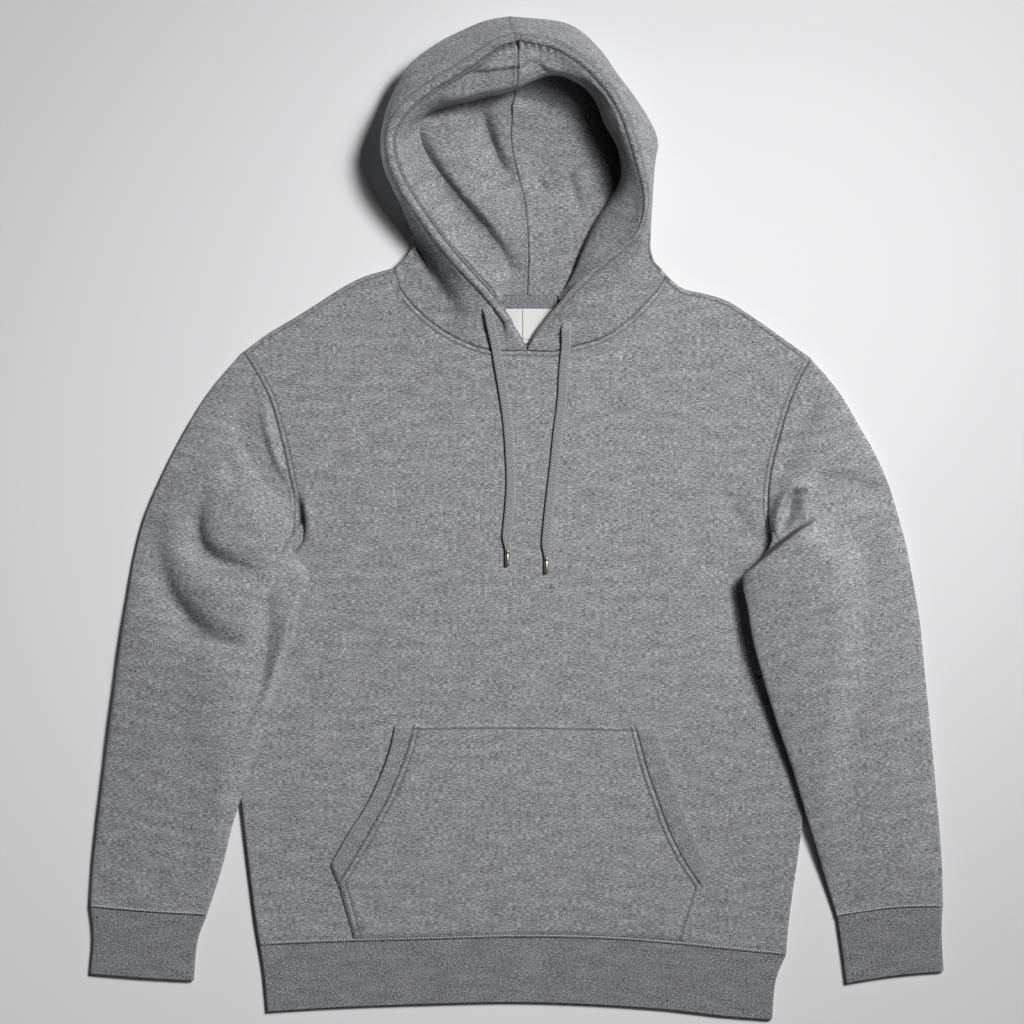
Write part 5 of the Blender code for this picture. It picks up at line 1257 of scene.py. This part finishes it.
def pocket():
    """The kangaroo pocket and the ribbed trims of its two openings."""
    sides = []
    for foot, seam in ((POCKET_RIGHT_FOOT, TRIM_RIGHT_INNER), (POCKET_LEFT_FOOT, TRIM_LEFT_INNER)):
        sides.append(joined([traced(foot), traced(seam)], [POCKET_FOOT]))
    edges = (traced(POCKET_BOTTOM), traced(POCKET_TOP), *sides)
    u_line, v_line = (shares_of(*size, PATCH_STEPS) for size in (POCKET_ACROSS, POCKET_DOWN))
    v_line[np.abs(v_line - POCKET_FOOT).argmin()] = POCKET_FOOT
    u, v = np.meshgrid(u_line, v_line)
    plan = coons(*edges, u, v)
    puff = POCKET_PUFF * np.sin(np.pi * u) ** POCKET_TAPER * np.sin(np.pi * v) ** POCKET_TAPER
    seams = ((PATCH_TOP, distance_to([POCKET_TOP], plan)),
             (PATCH_SIDE, distance_to([TRIM_RIGHT_INNER, TRIM_LEFT_INNER], plan)),
             (PATCH_FOOT, distance_to([POCKET_RIGHT_FOOT, POCKET_LEFT_FOOT], plan)))
    relief = sum(seam_relief(*seam) for seam in seams)
    relief = relief + lumps(plan, SEEDS["pocket"], POCKET_LUMPS)
    # Painted shade: dark threads and painted shadow along the pocket's seams
    shade = np.maximum.reduce([seam_shade(*seam) for seam in seams])
    edge = distance_to([POCKET_TOP, POCKET_BOTTOM, POCKET_RIGHT_FOOT, POCKET_LEFT_FOOT], plan)
    top = np.dstack([plan, front_top(plan) + PATCH_CLEARANCE + FLEECE + puff + relief])
    made = [strip("pocket_cloth", top, FLEECE, "fleece", "pocket", uv=plan * MM, edge=edge,
                  shade=shade)]
    for side, inner, outer in (("right", TRIM_RIGHT_INNER, TRIM_RIGHT_OUTER),
                               ("left", TRIM_LEFT_INNER, TRIM_LEFT_OUTER)):
        along = np.linspace(0, 1, TRIM_ROWS)[:, None]
        near, far = (traced(path)(along[:, 0])[:, None] for path in (inner, outer))
        width = np.linalg.norm(far - near, axis=-1, keepdims=True)
        wide = np.maximum(TRIM_COLUMNS[None, :, None], TRIM_CLEAR / width)
        plan, across = near + (far - near) * wide, wide[..., 0]
        gape = POCKET_GAPE * np.sin(np.pi * along) * across
        length = run_length(near[:, 0])[-1]
        ribs = TRIM_RIB * np.cos(2 * np.pi * along * length / RIB_PITCH)
        sewn, open_edge = (np.exp(-(gap / TRIM_EDGE) ** 2) for gap in (across, 1 - across))
        rise = gape + ribs - TRIM_ROUND * (sewn + open_edge)
        top = np.dstack([plan, front_top(plan) + PATCH_CLEARANCE + RIB + rise])
        ends = np.broadcast_to(length * np.minimum(along, 1 - along), across.shape)
        # Painted shade along the trim's sewn edge
        made.append(strip("pocket_trim_" + side, top, RIB, "rib", "pocket_rib_" + side,
                          edge=ends, shade=TRIM_SHADE * sewn))
        made[-1].data.materials[0] = material("trim")
    return made


def neck_pieces():
    """The tape over the inside of the neck seam and the two labels."""
    across = np.linspace(*NECK_TAPE_ACROSS, TAPE_POINTS[0])
    downs = np.linspace(NECK_TAPE[0].down, NECK_TAPE[-1].down, TAPE_POINTS[1])
    heights = np.interp(downs, [row.down for row in NECK_TAPE], [row.height for row in NECK_TAPE])
    middle, half = sum(NECK_TAPE_ACROSS) / 2, np.diff(NECK_TAPE_ACROSS)[0] / 2
    rows = [[(x, y, z - TAPE_DROP * smooth((abs(x - middle) - half + TAPE_TUCK) / TAPE_TUCK))
             for x in across] for y, z in zip(downs, heights)]
    made = [strip("neck_tape_woven", mat(rows), TAPE, "tape", "neck_tape")]
    for node, label in (("neck_label", NECK_LABEL), ("size_label", SIZE_LABEL)):
        x, y = np.meshgrid(np.linspace(label.left, label.right, LABEL_POINTS[0]),
                           np.linspace(label.top, label.bottom, LABEL_POINTS[1]))
        wave = LABEL_WAVE * np.sin(LABEL_WAVE_ACROSS * x + LABEL_WAVE_DOWN * y)
        grid = mat(np.dstack([x, y, label.height + wave]))
        made.append(strip(node + "_satin", grid, label.wall, "label", node))
    return made


def cord_line(route):
    """The middle of a cord, out from under the roll and down the front."""
    line = traced(route)(np.linspace(0, 1, CORD_POINTS))
    neck = mat(FRONT_NECK_LEFT[0])
    past_neck = np.maximum(line[:, 1] - neck[1], 0.0)
    cloth_top = np.where(past_neck > 0, front_top(neck), front_top(line))
    sunk = CORD_SINK * (1 - smooth(run_length(line) / CORD_SINK_LENGTH))
    height = cloth_top + HOOD_SLOPE * past_neck + PATCH_CLEARANCE + CORD_THICKNESS / 2 - sunk
    return np.column_stack([line, height])


def cords():
    """The two seen ends of the drawcord, each a closed braid with its metal end."""
    turn = np.linspace(0, 2 * np.pi, CORD_SIDES, endpoint=False)
    x, y = (size / 2 * np.sign(wave) * np.abs(wave) ** power for size, wave, power in zip(
        (CORD_WIDTH, CORD_THICKNESS), (np.cos(turn), np.sin(turn)), CORD_SQUARENESS))
    y = y * (1 - CORD_GROOVE * np.exp(-(x / CORD_GROOVE_WIDTH) ** 2))
    section = np.column_stack([x, y])
    around = run_length(np.concatenate([section, section[:1]]))
    narrow = np.ones((CORD_POINTS, 1, 1))
    narrow[-TIP_POINTS:, 0, 0] = np.linspace(1, TIP_WIDTH, TIP_POINTS)
    number = np.arange(CORD_POINTS * CORD_SIDES).reshape(CORD_POINTS, CORD_SIDES)
    a, b = number[:-1], number[1:]
    quads = np.stack([a, np.roll(a, -1, 1), np.roll(b, -1, 1), b], -1).reshape(-1, 4)
    faces = [*quads, number[0][::-1], number[-1]]
    for side, route in (("right", RIGHT_CORD), ("left", LEFT_CORD)):
        line = cord_line(route)
        tangent = unit(np.gradient(line, axis=0))
        across = unit(np.cross(tangent, [0, 0, 1.0]))
        up = unit(np.cross(across, tangent))
        rings = (line[:, None] + across[:, None] * x[None, :, None] * narrow
                 + up[:, None] * y[None, :, None])
        down = run_length(line)
        uv = np.stack(np.broadcast_arrays(around, down[:, None]), -1) * MM
        quad_uv = np.stack([uv[:-1, :-1], uv[:-1, 1:], uv[1:, 1:], uv[1:, :-1]], 2)
        uvs = [*quad_uv.reshape(-1, 4, 2), uv[0, :-1][::-1], uv[-1, :-1]]
        made = piece("drawcord_" + side + "_braid", rings.reshape(-1, 3) * MM, faces, "cord",
                     "drawcord_" + side, np.concatenate(uvs))
        tip = aglet(side, line[-1])


def aglet(side, end):
    """A metal tube pressed on the cord, turned from its profile."""
    centre = end + [0, -SEAM_GAP, (AGLET_DIAMETER - CORD_THICKNESS) / 2]
    turn = np.linspace(0, 2 * np.pi, AGLET_SIDES, endpoint=False)
    points = [[centre[0] + r * math.cos(t), centre[1] - down, centre[2] + r * math.sin(t)]
              for down, r in AGLET_PROFILE for t in turn]
    number = np.arange(len(points)).reshape(len(AGLET_PROFILE), AGLET_SIDES)
    a, b = number[:-1], number[1:]
    faces = list(np.stack([a, b, np.roll(b, -1, 1), np.roll(a, -1, 1)], -1).reshape(-1, 4))
    faces += [number[0], number[-1][::-1]]
    return piece("aglet_" + side + "_metal", np.array(points) * MM, faces, "metal",
                 "aglet_" + side, sharp=40)


# --- Stitches ------------------------------------------------------------------------------
def tree_of(made):
    """The piece's surface, to find where a line meets it."""
    data = made.data
    points = [v.co.copy() for v in data.vertices]
    return BVHTree.FromPolygons(points, [list(p.vertices) for p in data.polygons])


def beside(path, offset, start=0.0, end=1.0):
    """The path moved sideways: to its left-hand side on the mat when offset is positive."""
    line = traced(path)(np.linspace(start, end, SEAM_SAMPLES))
    run = unit(np.gradient(line, axis=0))
    return line + np.column_stack([-run[:, 1], run[:, 0]]) * offset


def seam_lines(pieces, rows, below=False):
    """Lines beside seams, on the top or the underside of the pieces; a row holds what
    beside() takes."""
    trees = [tree_of(made) for made in pieces]
    height, way, outermost = (RISE_FROM, 1, min) if below else (DROP_FROM, -1, max)
    lines = []
    for row in rows:
        found = []
        for x, y in beside(*row):
            start = Vector((x * MM, y * MM, height))
            hits = [tree.ray_cast(start, Vector((0, 0, way)))[0] for tree in trees]
            hits = [hit.z for hit in hits if hit is not None]
            if hits:
                found.append((x, y, outermost(hits) / MM))
        lines.append(np.array(found))
    return lines


def stitches(name, lines, shape=STITCH, kind="thread"):
    """One mesh of the stitches along the lines, each a small capsule."""
    pitch, length, width, lift = shape
    n, last = STITCH_SIDES, len(STITCH_PROFILE) - 1
    turn = np.linspace(0, 2 * np.pi, n, endpoint=False)
    points, faces = [], []
    for line in lines:
        distance = run_length(line)
        for place in (np.arange(int(distance[-1] / pitch)) + 0.5) * pitch:
            mid, end = (np.array([np.interp(at, distance, line[:, k]) for k in range(3)])
                        for at in (place, place + STITCH_AHEAD))
            ahead = unit(end - mid)
            side = unit(np.cross(ahead, [0, 0, 1.0]))
            up = np.cross(side, ahead)
            mid, base = mid + up * lift, len(points)
            for along, share in STITCH_PROFILE:
                points += [mid + ahead * along * length + (side * math.cos(t)
                           + up * math.sin(t) * STITCH_FLAT) * share * width / 2 for t in turn]
            for first in range(base, base + last * n, n):
                for k in range(n):
                    a, b = first + k, first + (k + 1) % n
                    faces.append([a, a + n, b + n, b])
            faces.append([base + k for k in range(n)])
            faces.append([base + last * n + k for k in reversed(range(n))])
    made = piece(name, np.array(points) * MM, faces, "fleece")
    made.data.materials[0] = material(kind)
    return made


def beads(name, pieces, seam, below=False):
    """The row of thick cover stitches beside a ribbed band's seam."""
    rows = [(seam, BEADS_AT, BEADS_START, 1 - BEADS_START)]
    return stitches(name, seam_lines(pieces, rows, below), BEAD, "bead")


def both(right, left, offset, *start):
    """The same row beside a seam on the right and beside its twin on the left."""
    return [(right, -offset, *start), (left, offset, *start)]


# --- Materials -------------------------------------------------------------------------------
class Nodes:
    """Makes and links the nodes of one material or world."""

    def __init__(self, owner, shader="Principled BSDF"):
        owner.use_nodes = True
        self.owner, self.tree = owner, owner.node_tree
        self.shader = self.tree.nodes[shader]

    def feed(self, node, values):
        """Links each input of the node to a socket, or sets it to a value."""
        for key, value in values.items():
            if isinstance(value, bpy.types.NodeSocket):
                self.tree.links.new(value, node.inputs[key])
            else:
                node.inputs[key].default_value = value

    def add(self, kind, values=None, **settings):
        node = self.tree.nodes.new(kind)
        for key, value in settings.items():
            setattr(node, key, value)
        self.feed(node, values or {})
        return node

    def maths(self, operation, a, b=0.0):
        return self.add("ShaderNodeMath", {0: a, 1: b}, operation=operation).outputs[0]

    def vectors(self, operation, a, b):
        return self.add("ShaderNodeVectorMath", {0: a, 1: b}, operation=operation).outputs

    def knit(self):
        return self.add("ShaderNodeUVMap", uv_map="knit").outputs[0]

    def place(self, kind="Object"):
        return self.add("ShaderNodeTexCoord").outputs[kind]

    def scaled(self, vector, x, y):
        """The vector with each axis divided by a length in metres."""
        return self.vectors("MULTIPLY", vector, (1 / x, 1 / y, 1.0))[0]

    def noise(self, vector, detail=2.0, roughness=0.6):
        return self.add("ShaderNodeTexNoise", {"Vector": vector, "Scale": 1.0, "Detail": detail,
                        "Roughness": roughness}).outputs["Fac"]

    def ramp(self, fac, stops):
        node = self.add("ShaderNodeValToRGB", {"Fac": fac})
        while len(node.color_ramp.elements) < len(stops):
            node.color_ramp.elements.new(0.5)
        for element, (place, colour) in zip(node.color_ramp.elements, stops):
            element.position, element.color = place, (*colour, 1.0)
        return node.outputs["Color"]

    def bump(self, height, strength, distance):
        return self.add("ShaderNodeBump", {"Height": height, "Strength": strength,
                        "Distance": distance}).outputs["Normal"]

    def finish(self, values):
        """Sets the shader's inputs and gives back what the nodes belong to."""
        self.feed(self.shader, values)
        return self.owner


def material_nodes(name):
    """The nodes of a new material."""
    return Nodes(bpy.data.materials.new(name))


def grey(level):
    """The cool grey of the cloth at a level of light."""
    return tuple(level * t for t in GREY_TINT)


def marl(name, dark, middle, light, streak, fine):
    """Marled knit: short streaks of darker and paler fibre along the courses, and a soft nap."""
    n = material_nodes(name)
    flat = n.knit()
    drift = n.noise(n.scaled(flat, *WAVER_SIZE), detail=1.0)
    sway = n.add("ShaderNodeCombineXYZ", {1: n.maths("MULTIPLY", drift, WAVER)}).outputs[0]
    uv = n.vectors("ADD", flat, sway)[0]
    streaks = n.noise(n.scaled(uv, *streak), roughness=0.55)
    specks = n.noise(n.scaled(uv, *fine), detail=1.0, roughness=0.5)
    broad = n.noise(n.scaled(uv, *BROAD_SIZE))
    mixed = n.maths("ADD", n.maths("MULTIPLY", streaks, STREAK_SHARE),
                    n.maths("MULTIPLY", specks, SPECK_SHARE))
    mixed = n.maths("ADD", mixed, n.maths("MULTIPLY", broad, BROAD_SHARE))
    colour = n.ramp(mixed, [*zip(MARL_STOPS, map(grey, (dark, middle, light)))])
    # Painted shade: the cloth's shade attribute darkens its colour towards SHADE_COLOUR in seams,
    # folds and hollows
    shade = n.add("ShaderNodeAttribute", attribute_name="shade").outputs["Fac"]
    shaded = n.add("ShaderNodeMix", {0: n.maths("MULTIPLY", shade, SHADE_DEPTH), 6: colour,
                   7: SHADE_COLOUR}, data_type="RGBA").outputs[2]
    nap = n.noise(n.scaled(uv, fine[0] * NAP_SIZE[0], fine[1] * NAP_SIZE[1]), roughness=0.7)
    height = n.maths("ADD", n.maths("MULTIPLY", streaks, NAP_STREAKS), nap)
    return n.finish({"Base Color": shaded, "Normal": n.bump(height, NAP_BUMP, NAP_DEPTH),
                     "Roughness": 0.95, "Sheen Weight": 0.12, "Sheen Roughness": 0.6,
                     "Specular IOR Level": 0.15})


def woven(name, chevron, thread, fine, show, tones, depth, sheen):
    """Slanted threads that turn back at every chevron: a herringbone tape or a flat braid."""
    n = material_nodes(name)
    uv = n.knit()
    u, v, _ = n.add("ShaderNodeSeparateXYZ", {0: uv}).outputs
    zigzag = n.maths("ADD", v, n.maths("PINGPONG", u, chevron))
    weave = n.maths("SINE", n.maths("MULTIPLY", zigzag, 2 * math.pi / thread))
    tone = n.maths("ADD", n.maths("MULTIPLY", weave, show), n.noise(n.scaled(uv, *fine)))
    colour = n.ramp(tone, [(place, grey(level)) for place, level in tones])
    return n.finish({"Base Color": colour, "Normal": n.bump(weave, WEAVE_BUMP, depth),
                     "Roughness": 0.9, "Sheen Weight": sheen})


def satin(name):
    """A label's smooth cloth, with fine threads across."""
    n = material_nodes(name)
    threads = n.noise(n.scaled(n.knit(), *LABEL_THREAD), detail=1.0)
    return n.finish({"Base Color": n.ramp(threads, LABEL_COLOURS), "Roughness": 0.5,
                     "Normal": n.bump(threads, LABEL_BUMP, THREAD_DEPTH), "Sheen Weight": 0.1})


def spun(name, dark, light):
    """Sewing thread, with its ply."""
    n = material_nodes(name)
    ply = n.noise(n.scaled(n.place(), *SEWING_THREAD), detail=1.0)
    return n.finish({"Base Color": n.ramp(ply, [(0.3, grey(dark)), (0.7, grey(light))]),
                     "Normal": n.bump(ply, THREAD_BUMP, THREAD_DEPTH), "Roughness": 0.8})


def metal(name):
    """Brushed metal."""
    n = material_nodes(name)
    fine = n.noise(n.vectors("MULTIPLY", n.place(), METAL_GRAIN)[0])
    low, high = METAL_ROUGHNESS
    rough = n.add("ShaderNodeMapRange", {0: fine, 3: low, 4: high}).outputs[0]
    return n.finish({"Base Color": n.ramp(fine, METAL_COLOURS), "Roughness": rough,
                     "Metallic": 1.0})


MATERIALS = {
    "fleece": (marl, "fleece_marl", 0.085, 0.25, 0.56, *PLAIN_KNIT),
    "rib": (marl, "rib_marl", 0.07, 0.205, 0.42, *RIB_KNIT),
    # A darker copy of the fleece for both cloths of the hood: painted shade
    "lining": (marl, "hood_marl", 0.075, 0.225, 0.52, *PLAIN_KNIT),
    "trim": (marl, "trim_marl", 0.08, 0.235, 0.48, *RIB_KNIT),
    "thread": (spun, "spun_thread", 0.12, 0.30),
    "bead": (spun, "pale_thread", 0.30, 0.60),
    "tape": (woven, "woven_tape", *TAPE_WEAVE),
    "label": (satin, "satin_label"),
    "cord": (woven, "braided_cord", *CORD_WEAVE),
    "metal": (metal, "tip_metal"),
}


@functools.cache
def material(kind):
    """The material of that kind, made the first time it is asked for."""
    maker, *facts = MATERIALS[kind]
    return maker(*facts)


# --- Camera, floor and light -------------------------------------------------------------------
def staged(name, data, sockets, unseen=()):
    """A part of the plain pale studio."""
    made = placed(name, data)
    data.materials.append(material_nodes("pale_" + name).finish(sockets))
    for reach in unseen:
        setattr(made, "visible_" + reach, False)


def aimed(light, place, aim=(0.0, 0.0, 0.0)):
    """Turns the light so that it shines from a place to another."""
    way = Vector(aim) - Vector(place)
    light.rotation_euler = way.to_track_quat("-Z", "Y").to_euler()


def studio():
    """The camera straight above, the floor, the pale backdrop, the lights and the sky."""
    scene = bpy.context.scene
    camera = placed("camera", bpy.data.cameras.new("camera"))
    camera.data.sensor_width = SENSOR
    camera.data.lens = SENSOR * CAMERA_HEIGHT / VIEW_WIDTH
    camera.data.clip_end = VIEW_END
    camera.location = (*(mat(VIEW_CENTRE) * MM), CAMERA_HEIGHT)
    scene.camera = camera

    floor = bpy.data.meshes.new("floor")
    corners = ((-1, -1), (1, -1), (1, 1), (-1, 1))
    floor.from_pydata([(x * FLOOR_HALF, y * FLOOR_HALF, FLOOR_Z) for x, y in corners], [],
                      [(0, 1, 2, 3)])
    staged("floor", floor, {"Base Color": FLOOR_COLOUR, "Roughness": 0.9})

    pool = placed("pool", bpy.data.lights.new("pool", "AREA"))
    pool.data.shape, pool.data.size, pool.data.energy = "DISK", POOL_SIZE, POOL_POWER
    pool.data.spread = math.radians(POOL_SPREAD)
    pool.location = LIGHT_PLACE
    aimed(pool, LIGHT_PLACE, POOL_AIM)
    sun = placed("key", bpy.data.lights.new("key", "SUN"))
    sun.data.energy, sun.data.angle = SUN_POWER, math.radians(SUN_ANGLE)
    aimed(sun, LIGHT_PLACE)

    sphere, dome = bmesh.new(), bpy.data.meshes.new("backdrop")
    bmesh.ops.create_uvsphere(sphere, u_segments=48, v_segments=24, radius=BACKDROP_RADIUS)
    sphere.to_mesh(dome)
    sphere.free()
    staged("backdrop", dome, {"Base Color": (0.0, 0.0, 0.0, 1.0),
           "Emission Color": BACKDROP_COLOUR, "Emission Strength": BACKDROP_GLOW},
           unseen=("diffuse", "glossy", "transmission", "volume_scatter", "shadow"))

    scene.world = bpy.data.worlds.new("studio")
    n = Nodes(scene.world, "Background")
    way = n.place("Generated")
    up = n.add("ShaderNodeSeparateXYZ", {0: way}).outputs[2]
    low = n.maths("POWER", n.maths("DIVIDE", up, RIM_REACH), 2.0)
    glow = n.maths("MULTIPLY", n.maths("EXPONENT", n.maths("MULTIPLY", low, -1.0)), RIM_GLOW)
    ahead = n.vectors("DOT_PRODUCT", way, FAR_SIDE)["Value"]
    glow = n.maths("MULTIPLY", glow, n.maths("ADD", n.maths("MAXIMUM", ahead, 0.0), 1.0))
    n.finish({"Color": SKY_COLOUR, "Strength": n.maths("ADD", glow, SKY_GLOW)})
    scene.view_settings.view_transform = "Standard"


studio()
cords()
front = body("front", (FRONT_NECK_RIGHT, FRONT_NECK_LEFT), True)
back = body("back", (BACK_NECK_RIGHT, BACK_NECK_LEFT), False)
hem = hem_band()
sleeve_right = sleeve("right", -1.0, RIGHT_SLEEVE, RIGHT_ARMHOLE, RIGHT_CUFF_SEAM,
                      RIGHT_SLEEVE_TROUGHS, ())
sleeve_left = sleeve("left", 1.0, LEFT_SLEEVE, LEFT_ARMHOLE, LEFT_CUFF_SEAM,
                     LEFT_SLEEVE_TROUGHS, LEFT_SLEEVE_LIPS)
cuff_right, cuff_left = cuff("right", RIGHT_CUFF), cuff("left", LEFT_CUFF)
halves = {
    "right": hood_half("right", -1.0, HOOD_RIGHT, LINING_RIGHT, LINING_NECK_RIGHT,
                       FRONT_NECK_RIGHT, BACK_NECK_RIGHT),
    "left": hood_half("left", 1.0, HOOD_LEFT, LINING_LEFT, LINING_NECK_LEFT,
                      FRONT_NECK_LEFT, BACK_NECK_LEFT),
}
patch, trim_right, trim_left = pocket()
tape, neck_label, size_label = neck_pieces()

armholes = both(RIGHT_ARMHOLE, LEFT_ARMHOLE, TWIN.groove_at, UNDERARM_SKIP)
front_rows = stitches("front_stitches", seam_lines([front], [
    *both(FRONT_NECK_RIGHT, FRONT_NECK_LEFT, -TWIN.groove_at), *armholes,
    *both(RIGHT_SHOULDER, LEFT_SHOULDER, TWIN.groove_at)]))
back_rows = stitches("back_stitches", seam_lines([back], [
    *both(BACK_NECK_RIGHT, BACK_NECK_LEFT, -TWIN.groove_at), *armholes], below=True))
pocket_rows = stitches("pocket_stitches", seam_lines([patch], [
    (POCKET_TOP, -PATCH_TOP.groove_at),
    *both(TRIM_RIGHT_INNER, TRIM_LEFT_INNER, PATCH_SIDE.groove_at),
    *both(POCKET_RIGHT_FOOT, POCKET_LEFT_FOOT, PATCH_FOOT.groove_at),
    *both(POCKET_RIGHT_FOOT, POCKET_LEFT_FOOT, FOOT_EDGE)]))
hem_beads = beads("hem_stitches", [front, patch], HEM_SEAM)
hem_beads_back = beads("hem_stitches_back", [back], HEM_SEAM, below=True)
cuff_beads = {"right": beads("cuff_stitches_right", [sleeve_right], RIGHT_CUFF_SEAM),
              "left": beads("cuff_stitches_left", [sleeve_left], LEFT_CUFF_SEAM[::-1])}
for side, (shell, lining, outer, face) in halves.items():
    lines = [row_at(grid[NECK_ROWS:], len(roll) - 1, row.past)
             for grid, roll, rows in ((outer, OUTER_ROLL, OUTER_ROWS[side]),
                                      (face, LINING_ROLL, LINING_ROWS[side])) for row in rows]
    lines += [outer[CROWN_ROW, len(OUTER_ROLL):CROWN_END], outer[NECK_ROWS:, CROWN_ROW]]
    stitches("rim_stitches_" + side, lines)
